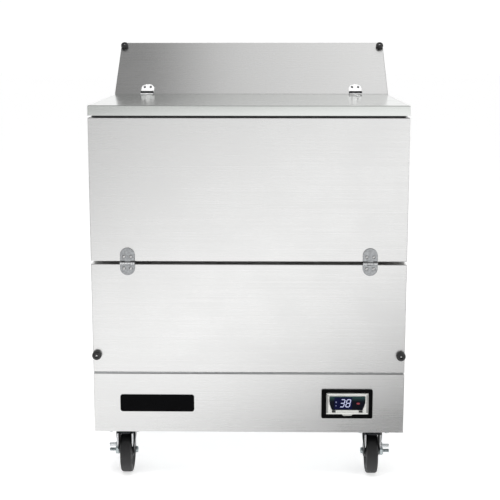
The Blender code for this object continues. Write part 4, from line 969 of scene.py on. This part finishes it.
profile = [(58.2, 152.4), (58.2, 1030.9), (543.0, 1030.9), (543.0, 1064.3), (737.0, 1222.0), (851.0, 1222.0), (851.0, 152.4)]
soft = rounded_profile([profile[-1]] + profile + [profile[0]], 1.2, 3)[1:-1]
for side, s in (("left", -1), ("right", 1)):
    pts = [((FRONT + u * MM), z * MM) for u, z in soft]
    piece("side_skin_" + side, plate(pts, 0.0012, Matrix.Translation((s * 0.4312, 0, 0)) @ SIDE_VIEW, 0.0004, 2), STEEL_SIDE_PAINTED_SHADE, "cabinet",
          "side_panel_" + side, 40)

# ------------------------------------------------------------------ rear: panel screws and louvre lips
screws = []
for x in (-415, -210, 0, 210, 415):
    for z in (342, 1165):
        screws.append(screw_head(W(x, 849.2, z), (0, 1, 0), 0.0042, 0.0016))
for z in (540, 750, 960):
    for x in (-415, 415):
        screws.append(screw_head(W(x, 849.2, z), (0, 1, 0), 0.0042, 0.0016))
for x in (-415, -142, 142, 415):
    for z in (162, 313):
        if abs(x) < 400 or z > 200:
            screws.append(screw_head(W(x, 849.2, z), (0, 1, 0), 0.0042, 0.0016))
piece("rear_screws", merge(*screws), SCREW, "cabinet")
lips = []
for x in (-285.0, 0.0, 285.0):
    for k in range(6):
        z = 180.6 + 24.0 * k
        n = 9
        prof = [(849.0, 0.0)] + [(849.1 + 1.7 * math.sin(math.pi * t / n), -7.0 * t / n + 3.0) for t in range(n + 1)] + [(849.0, -4.0)]
        bm = bmesh.new()
        a = [bm.verts.new(W(x - 108.0, u, z + dz)) for u, dz in prof]
        b = [bm.verts.new(W(x + 108.0, u, z + dz)) for u, dz in prof]
        for i in range(len(prof)):
            j = (i + 1) % len(prof)
            bm.faces.new((a[i], a[j], b[j], b[i]))
        bm.faces.new(a)
        bm.faces.new(b[::-1])
        lips.append(bm)
piece("grille_lips", merge(*lips), GALV, "cabinet")
gland = rounded_profile([(5.0, 1.2), (9.0, 1.2), (12.0, 0.6), (12.0, -0.4), (8.0, -0.4), (8.0, -14.0), (5.0, -14.0)], 0.4, 2)
piece("inlet_bush", turned([(r * MM, h * MM) for r, h in gland], 40, W(412, 849.8, 215), (0, 1, 0)), BLACK_PLASTIC, "cabinet", "cord_gland")

# ------------------------------------------------------------------ seals
seal = rounded_profile([(0.4, 1036.1), (17.8, 1036.1), (18.4, 1034.6), (15.5, 1034.0), (17.6, 1032.8), (15.0, 1031.6), (9.4, 1031.6), (3.6, 1031.6),
                        (1.2, 1032.8), (3.2, 1034.0), (0.2, 1034.6), (0.4, 1036.1)], 0.4, 2)[1:-1]
ring = [(-422.8, 10.0), (422.8, 10.0), (422.8, 531.0), (-422.8, 531.0)]
piece("lid_seal", swept(ring, seal, True, lambda x, u, h: W(x, u, h)), SEAL, "lid", "lid_gasket", 60)
d0 = 44.0 + 1.9
seal = rounded_profile([(0.4, d0), (18.8, d0), (19.6, d0 + 2.5), (17.0, d0 + 4.4), (19.4, d0 + 6.8), (17.4, 57.3), (10.0, 57.7), (2.6, 57.3),
                        (0.6, d0 + 6.8), (3.0, d0 + 4.4), (0.4, d0 + 2.5), (0.4, d0)], 0.6, 2)[1:-1]
path = [(-421.0, 1026.0), (-421.0, 645.0), (421.0, 645.0), (421.0, 1026.0)]
piece("door_seal", swept(path, seal, False, lambda x, z, h: W(x, h, z)), SEAL, "door", "door_gasket", 60)

# ------------------------------------------------------------------ inner pans of the lid and the door


def pan_piece(name, node_name, body, half, well, centre, depth, place, face):
    ax, ay = half
    bx, by, cx, cy = well
    loops = [(round_rect(-ax, ax, -ay, ay, 4.0, 6), 0.0)]
    r = 26.0
    for inset, h, rr in ((-6.0, 0.0, r + 6), (-2.0, 0.2, r + 2), (0.0, 1.4, r), (2.0, 4.0, r - 1), (4.5, depth - 3.0, r - 3), (6.5, depth - 0.8, r - 5), (10.0, depth, r - 8)):
        loops.append((round_rect(cx - bx + inset, cx + bx - inset, cy - by + inset, cy + by - inset, rr, 6), h))
    bm = stepped([(pts, -h) for pts, h in loops], place)
    return sheet(name, bm, PAN, body, node_name, 0.0010, 0.0, face, 40)


pan_piece("lid_pan", "lid_inner_pan", "lid", (429.6, 268.5), (370.0, 211.0, 0.0, 12.5), None, 22.0,
          lambda x, y, h: W(x, 270.5 + y, 1038.0 + h), (0, 0, -1))
pan_piece("door_pan", "door_inner_pan", "door", (431.0, 195.2), (368.0, 166.0, 0.0, 8.0), None, 18.0,
          lambda x, y, h: W(x, 45.0 - h, 835.35 + y), (0, 1, 0))

# ------------------------------------------------------------------ wire floor rack
wires = [pipe(tube_loop(366.5, 84.0, 686.0, 18.0, 370.5), 0.0042, 12, True)]
for u in (95.0, 380.0, 675.0):
    wires.append(pipe([W(-366.0, u, 366.6), W(366.0, u, 366.6)], 0.0038, 10))
for k in range(25):
    x = -365.0 + 60.8333 / 2 * k
    if 0 < k < 24:
        wires.append(pipe(bent([W(x, 84.0, 371.5), W(x, 86.0, 377.4), W(x, 684.0, 377.4), W(x, 686.0, 371.5)], 0.004, 3), 0.0028, 8))
for x in (-330.0, 330.0):
    for u in (95.0, 380.0, 675.0):
        wires.append(turned(rounded_profile([(0, 0.002), (0.0065, 0.002), (0.0072, -0.0045), (0, -0.0045)], 0.0008, 2), 20, W(x, u, 366.6), (0, 0, 1)))
piece("rack_wires", merge(*wires), WIRE, "cabinet", "floor_rack", 50, weighted=False)

# ------------------------------------------------------------------ refrigeration
for node_name, x0, x1, u0, u1, z0, z1, rows, cols, tag in (("evaporator_coil", -250, 250, 745, 795, 980, 1130, 6, 2, "cold"),
                                                        ("condenser_coil", -390, -90, 790, 835, 158, 300, 6, 2, "warm")):
    fins = []
    count = 62 if tag == "cold" else 40
    for k in range(count):
        x = x0 + 3 + (x1 - x0 - 6) * k / (count - 1)
        fins.append(block(W(x - 0.35, u0, z0 + 1), W(x + 0.35, u1, z1 - 1)))
    piece(tag + "_coil_fins", merge(*fins), FINS, "cabinet", node_name, weighted=False)
    plates = []
    for x in (x0, x1):
        s = 1 if x == x0 else -1
        plates.append(block(W(min(x, x + s * 1.5), u0 - 2, z0 - (0 if tag == "warm" else 2)), W(max(x, x + s * 1.5), u1 + 2, z1 + 1), 0.0005, 1))
    piece(tag + "_coil_plates", merge(*plates), GALV, "cabinet")
    tubes = []
    for c in range(cols):
        u = u0 + (u1 - u0) * (0.27 + 0.46 * c)
        for r in range(rows):
            z = z0 + (z1 - z0) * (r + 0.5) / rows
            tubes.append(pipe([W(x0 - 1, u, z), W(x1 + 1, u, z)], 0.0046, 10))
        for r in range(rows - 1):
            za, zb = (z0 + (z1 - z0) * (r + 0.5) / rows, z0 + (z1 - z0) * (r + 1.5) / rows)
            x, s = (x1, 1) if r % 2 == 0 else (x0, -1)
            arc = [W(x + s * (0.8 + (zb - za) / 2 * math.sin(math.pi * t / 8)), u, (za + zb) / 2 - (zb - za) / 2 * math.cos(math.pi * t / 8)) for t in range(9)]
            tubes.append(pipe(arc, 0.0046, 10))
    piece(tag + "_coil_tubes", merge(*tubes), COPPER, "cabinet", angle=50, weighted=False)

shell = rounded_profile([(0, 152.0), (30.0, 150.0), (56.0, 140.0), (70.0, 122.0), (75.0, 98.0), (75.0, 63.0), (78.0, 61.5), (78.0, 55.5), (75.0, 54.0), (74.0, 30.0),
                         (60.0, 12.0), (36.0, 3.0), (0, 0)], 9.0, 4)
parts = [turned([(r * MM, h * MM) for r, h in shell], 56, W(180, 640, 159.5), (0, 0, 1)), block(W(80, 575, 162), W(280, 705, 165), 0.0012, 2)]
for s in (-1, 1):
    for t in (-1, 1):
        parts.append(block(W(180 + s * 34 - 6, 640 + t * 52 - 12, 163.5), W(180 + s * 34 + 6, 640 + t * 52 + 12, 200), 0.002, 2))
piece("compressor_shell", merge(*parts), BLACK_PAINT, "cabinet", "compressor", 40)
box_parts = [block(W(186, 560.5, 222), W(238, 580, 272), 0.004, 3), turned(rounded_profile([(0, 0.004), (0.006, 0.004), (0.0065, 0), (0, 0)], 0.0008, 2), 24, W(212, 560.5, 247), (0, -1, 0))]
piece("compressor_box", merge(*box_parts), BLACK_PLASTIC, "cabinet")
feet = [turned(rounded_profile([(0, 0.0072), (0.0068, 0.0072), (0.0072, 0.0018), (0.010, 0.0012), (0.0105, -0.0042), (0, -0.0042)], 0.0007, 2), 28, W(x, u, 160.3 + 1.0), (0, 0, 1))
        for x in (95, 265) for u in (590, 690)]
piece("compressor_feet", merge(*feet), RUBBER, "cabinet")
tubes = [pipe(bent([W(126, 610, 236), W(112, 602, 236), W(104, 598, 250), W(104, 598, 300), W(40, 640, 306), W(-60, 760, 300), W(-92, 800, 292)], 0.014, 4), 0.0032, 10),
         pipe(bent([W(150, 712, 214), W(146, 726, 214), W(150, 738, 222), W(150, 744, 236)], 0.006, 4), 0.0032, 10)]
piece("discharge_tubes", merge(*tubes), COPPER, "cabinet", angle=50, weighted=False)
route = bent([W(220, 796, 1010), W(220, 826, 1010), W(220, 826, 250), W(181, 760, 244), W(181, 720, 244)], 0.016, 6)
piece("suction_tube", pipe(route, 0.0056, 14), COPPER, "cabinet", "suction_line", 50, weighted=False)

for node_name, at, axis, prof, body, tag in (
        ("evaporator_fan_motor", W(0, 770, 880), (0, -1, 0), [(0, 30), (3, 30), (3, 22), (27, 22), (30, 18), (30, -18), (27, -22), (0, -22)], "cabinet", "cold"),
        ("condenser_fan_motor", W(-240, 722, 232), (0, 1, 0), [(0, 44), (3, 44), (3, 32), (34, 32), (38, 27), (38, -27), (34, -32), (0, -32)], "cabinet", "warm")):
    prof = rounded_profile(prof, 1.2, 2)
    parts = [turned([(r * MM, h * MM) for r, h in prof], 48, at, axis)]
    big = 30 if tag == "cold" else 38
    for h in (-8, 0, 8):
        parts.append(turned(rounded_profile([(big - 1.0, h - 1.6), (big + 0.9, h - 1.2), (big + 0.9, h + 1.2), (big - 1.0, h + 1.6)], 0.3, 1) and
                            [((big - 1.0) * MM, (h - 1.6) * MM), ((big + 0.9) * MM, (h - 1.2) * MM), ((big + 0.9) * MM, (h + 1.2) * MM), ((big - 1.0) * MM, (h + 1.6) * MM)], 48, at, axis))
    if tag == "cold":
        parts.append(block(W(-20, 785.5, 830), W(20, 804.2, 930), 0.002, 2))
    else:
        parts.append(block(W(-265, 700, 155.3), W(-215, 742, 197), 0.002, 2))
    piece(tag + "_motor", merge(*parts), BLACK_PAINT, body, node_name, 40)

for node_name, at, axis, hub_r, tip_r, body, mat, slot_name in (
        ("evaporator_fan_blade", W(0, 735, 880), (0, 1, 0), 16.0, 62.0, "evaporator_fan", BLACK_PLASTIC, "black_plastic"),
        ("condenser_fan_blade", W(-240, 768, 232), (0, -1, 0), 16.0, 60.0, "condenser_fan", FINS, "fin")):
    aim = Matrix.Translation(at) @ Vector((0, 0, 1)).rotation_difference(Vector(axis)).to_matrix().to_4x4()
    hub_prof = rounded_profile([(3.6, 8.0), (13.6, 8.0), (16.0, 5.0), (16.0, -8.0), (0, -8.0), (0, -4.0), (3.6, -4.0)], 0.8, 2)
    hub = turned([(r * MM, h * MM) for r, h in hub_prof + [(3.6, 8.0)]][:-1], 40)
    bmesh.ops.transform(hub, matrix=aim, verts=hub.verts)
    blades = [hub]
    for k in range(4):
        bm = bmesh.new()
        grid = []
        for i in range(7):
            t = i / 6
            r = (hub_r - 1.0) + (tip_r - hub_r + 1.0) * t
            spread = math.radians(30 + 10 * math.sin(math.pi * t * 0.9))
            if t > 0.9:
                spread *= 0.86
            row = []
            for j in range(9):
                q = j / 8 - 0.5
                ang = 2 * math.pi * k / 4 + q * 2 * spread + 0.10 * t
                pitch = (5.8 - 1.2 * t) * (q * 2)
                camber = 1.6 * (1 - (2 * q) ** 2)
                row.append((r * math.cos(ang), r * math.sin(ang), pitch + camber))
            grid.append(row)
        tops = [[bm.verts.new((x * MM, y * MM, (z + 0.8) * MM)) for x, y, z in row] for row in grid]
        lows = [[bm.verts.new((x * MM, y * MM, (z - 0.8) * MM)) for x, y, z in row] for row in grid]
        for i in range(6):
            for j in range(8):
                bm.faces.new((tops[i][j], tops[i + 1][j], tops[i + 1][j + 1], tops[i][j + 1]))
                bm.faces.new((lows[i][j], lows[i][j + 1], lows[i + 1][j + 1], lows[i + 1][j]))
        for i in range(6):
            bm.faces.new((tops[i][0], lows[i][0], lows[i + 1][0], tops[i + 1][0]))
            bm.faces.new((tops[i][8], tops[i + 1][8], lows[i + 1][8], lows[i][8]))
        for j in range(8):
            bm.faces.new((tops[0][j], tops[0][j + 1], lows[0][j + 1], lows[0][j]))
            bm.faces.new((tops[6][j], lows[6][j], lows[6][j + 1], tops[6][j + 1]))
        bmesh.ops.transform(bm, matrix=aim, verts=bm.verts)
        blades.append(bm)
    piece(body + "_rotor", merge(*blades), mat, body, node_name, 40)

guard = []
for r in (22.0, 36.0, 50.0, 64.0, 75.0):
    ring = [W(r * math.cos(2 * math.pi * k / 48), 717.4, 880 + r * math.sin(2 * math.pi * k / 48)) for k in range(48)]
    guard.append(pipe(ring, 0.0012, 8, True))
for k in range(4):
    a = math.pi / 4 + math.pi / 2 * k
    guard.append(pipe([W(22 * math.cos(a), 715.4, 880 + 22 * math.sin(a)), W(79 * math.cos(a), 715.4, 880 + 79 * math.sin(a))], 0.0015, 8))
    guard.append(turned(rounded_profile([(0, 0.0026), (0.0042, 0.0022), (0.0048, 0.0), (0, -0.0026)], 0.0006, 2), 20, W(79 * math.cos(a), 717.4, 880 + 79 * math.sin(a)), (0, -1, 0)))
piece("fan_guard", merge(*guard), SCREW, "cabinet", angle=50, weighted=False)
caps = [screw_head(W(x, 720.0, z), (0, -1, 0), 0.0042, 0.0016) for x in (-285, -95, 95, 285) for z in (455, 1135)]
caps += [screw_head(W(s * 405, 58.0, z), (0, -1, 0), 0.0036, 0.0012) for s in (-1, 1) for z in (652, 780, 900, 1012)]
piece("inner_screws", merge(*caps), SCREW, "cabinet")

# ------------------------------------------------------------------ floor, light, camera
bpy.ops.mesh.primitive_plane_add(size=60.0, location=(0, 0, 0))
floor = bpy.context.object
floor.name = "floor"
fm, nt, sh = new_mat("studio_floor")
sh.inputs["Base Color"].default_value = (0.86, 0.86, 0.86, 1)
sh.inputs["Roughness"].default_value = 0.8
sh.inputs["Emission Color"].default_value = (1, 1, 1, 1)
sh.inputs["Emission Strength"].default_value = 0.60
floor.data.materials.append(fm)

world = bpy.data.worlds.new("studio")
bpy.context.scene.world = world
world.use_nodes = True
wt = world.node_tree
bg = wt.nodes["Background"]
tc = wt.nodes.new("ShaderNodeTexCoord")
sep = wt.nodes.new("ShaderNodeSeparateXYZ")
wt.links.new(tc.outputs["Generated"], sep.inputs[0])


def world_range(value, a, b, c, d):
    n = wt.nodes.new("ShaderNodeMapRange")
    n.interpolation_type = "SMOOTHSTEP"
    for k, v in (("From Min", a), ("From Max", b), ("To Min", c), ("To Max", d)):
        n.inputs[k].default_value = v
    wt.links.new(value, n.inputs["Value"])
    return n.outputs["Result"]


up = world_range(sep.outputs["Z"], 0.22, 0.74, 1.04, 0.28)
m1 = wt.nodes.new("ShaderNodeMath"); m1.operation = "MULTIPLY"
wt.links.new(up, m1.inputs[0])
lean = wt.nodes.new("ShaderNodeMath"); lean.operation = "MULTIPLY_ADD"
wt.links.new(sep.outputs["X"], lean.inputs[0])
lean.inputs[1].default_value = 0.8
wt.links.new(sep.outputs["Y"], lean.inputs[2])
wt.links.new(world_range(lean.outputs[0], -1.14, -0.74, 0.42, 1.0), m1.inputs[1])
wt.links.new(m1.outputs[0], bg.inputs["Strength"])
bg.inputs["Color"].default_value = (1, 1, 1, 1)


def softbox(name, place, aim, size, power, colour=(1, 1, 1)):
    data = bpy.data.lights.new(name, "AREA")
    data.shape = "RECTANGLE"
    data.size, data.size_y = size
    data.energy = power
    data.color = colour
    o = bpy.data.objects.new(name, data)
    bpy.context.scene.collection.objects.link(o)
    o.location = place
    o.rotation_mode = "QUATERNION"
    o.rotation_quaternion = (Vector(aim) - Vector(place)).to_track_quat("-Z", "Y")
    o.visible_camera = False
    return o




def card(name, corners, strength):
    """A glowing studio card that only mirror-like surfaces see; strength is built from its own position."""
    me = bpy.data.meshes.new(name)
    me.from_pydata([Vector(c) for c in corners], [], [(0, 1, 2, 3)])
    o = bpy.data.objects.new(name, me)
    bpy.context.scene.collection.objects.link(o)
    mat = bpy.data.materials.new(name)
    mat.use_nodes = True
    t = mat.node_tree
    t.nodes.clear()
    out = t.nodes.new("ShaderNodeOutputMaterial")
    em = t.nodes.new("ShaderNodeEmission")
    t.links.new(em.outputs[0], out.inputs[0])
    at = t.nodes.new("ShaderNodeTexCoord")
    xyz = t.nodes.new("ShaderNodeSeparateXYZ")
    t.links.new(at.outputs["Object"], xyz.inputs[0])
    t.links.new(strength(t, xyz.outputs[0], xyz.outputs[1]), em.inputs["Strength"])
    me.materials.append(mat)
    o.visible_camera = False
    o.visible_diffuse = False
    o.visible_shadow = False
    o.visible_transmission = False
    return o


CAM = Vector((0.0440, -3.2959, 1.2571))
REACH = FRONT - CAM.y


def front_glow(t, x, y):
    """The fall of light over the floor in front: brightest in a band that runs from near left to far right."""
    way = math_node(t, "DIVIDE", math_node(t, "SUBTRACT", FRONT, y), REACH)
    whole = math_node(t, "ADD", way, 1.0)
    px = math_node(t, "ADD", math_node(t, "DIVIDE", math_node(t, "SUBTRACT", x, CAM.x), whole), CAM.x)
    pz = math_node(t, "DIVIDE", math_node(t, "MULTIPLY", way, CAM.z), whole)
    total = None
    for (i, j), k in FRONT_GLOW.items():
        term = k
        for _ in range(i):
            term = math_node(t, "MULTIPLY", term, px)
        for _ in range(j):
            term = math_node(t, "MULTIPLY", term, pz)
        total = term if total is None else math_node(t, "ADD", total, term)
    sharper = math_node(t, "ADD", math_node(t, "MULTIPLY", total, 1.42), -0.335)
    return math_node(t, "MINIMUM", math_node(t, "MAXIMUM", sharper, 0.22), 1.25)


FRONT_GLOW = {(0, 0): 0.3874, (0, 1): 2.7847, (0, 2): -3.2819, (0, 3): 1.0416, (1, 0): -1.045, (1, 1): 1.9579, (1, 2): -0.4519,
              (2, 0): -0.713, (2, 1): 0.2636, (3, 0): 0.1665}


def over_glow(t, x, y):
    """The ceiling over the hood: dim on the left, bright on the right."""
    return math_node(t, "ADD", ranged(t, x, 0.29, 0.78, -0.45, -0.12), ranged(t, x, 0.0, 0.20, -0.06, 0.50))


card("front_card", ((-9, -0.62, 0.004), (9, -0.62, 0.004), (9, -16, 0.004), (-9, -16, 0.004)), front_glow)
card("over_card", ((-1.6, -0.3, 2.25), (1.8, -0.3, 2.25), (1.8, 1.3, 2.25), (-1.6, 1.3, 2.25)), over_glow)
softbox("over_right", (1.9, 0.95, 3.6), (1.2, 0.3, 1.0), (2.6, 2.4), 11)
softbox("front_fill", (-1.6, -4.6, 2.6), (0, 0, 0.5), (2.6, 2.0), 8)

top = softbox("top_fill", (-0.4, -1.6, 3.4), (0, 0.1, 1.0), (2.0, 1.4), 70)
top.visible_glossy = False

cam_data = bpy.data.cameras.new("camera")
cam = bpy.data.objects.new("camera", cam_data)
bpy.context.scene.collection.objects.link(cam)
bpy.context.scene.camera = cam
cam_data.sensor_width = 36.0
cam_data.lens = 77.62
cam_data.shift_y = -0.085
cam_data.clip_start, cam_data.clip_end = 0.05, 200.0
cam.location = (0.0440, -3.2959, 1.2571)
cam.rotation_euler = (math.pi / 2 - 0.1612, 0, 0.0140)

bpy.context.scene.view_settings.view_transform = "Standard"
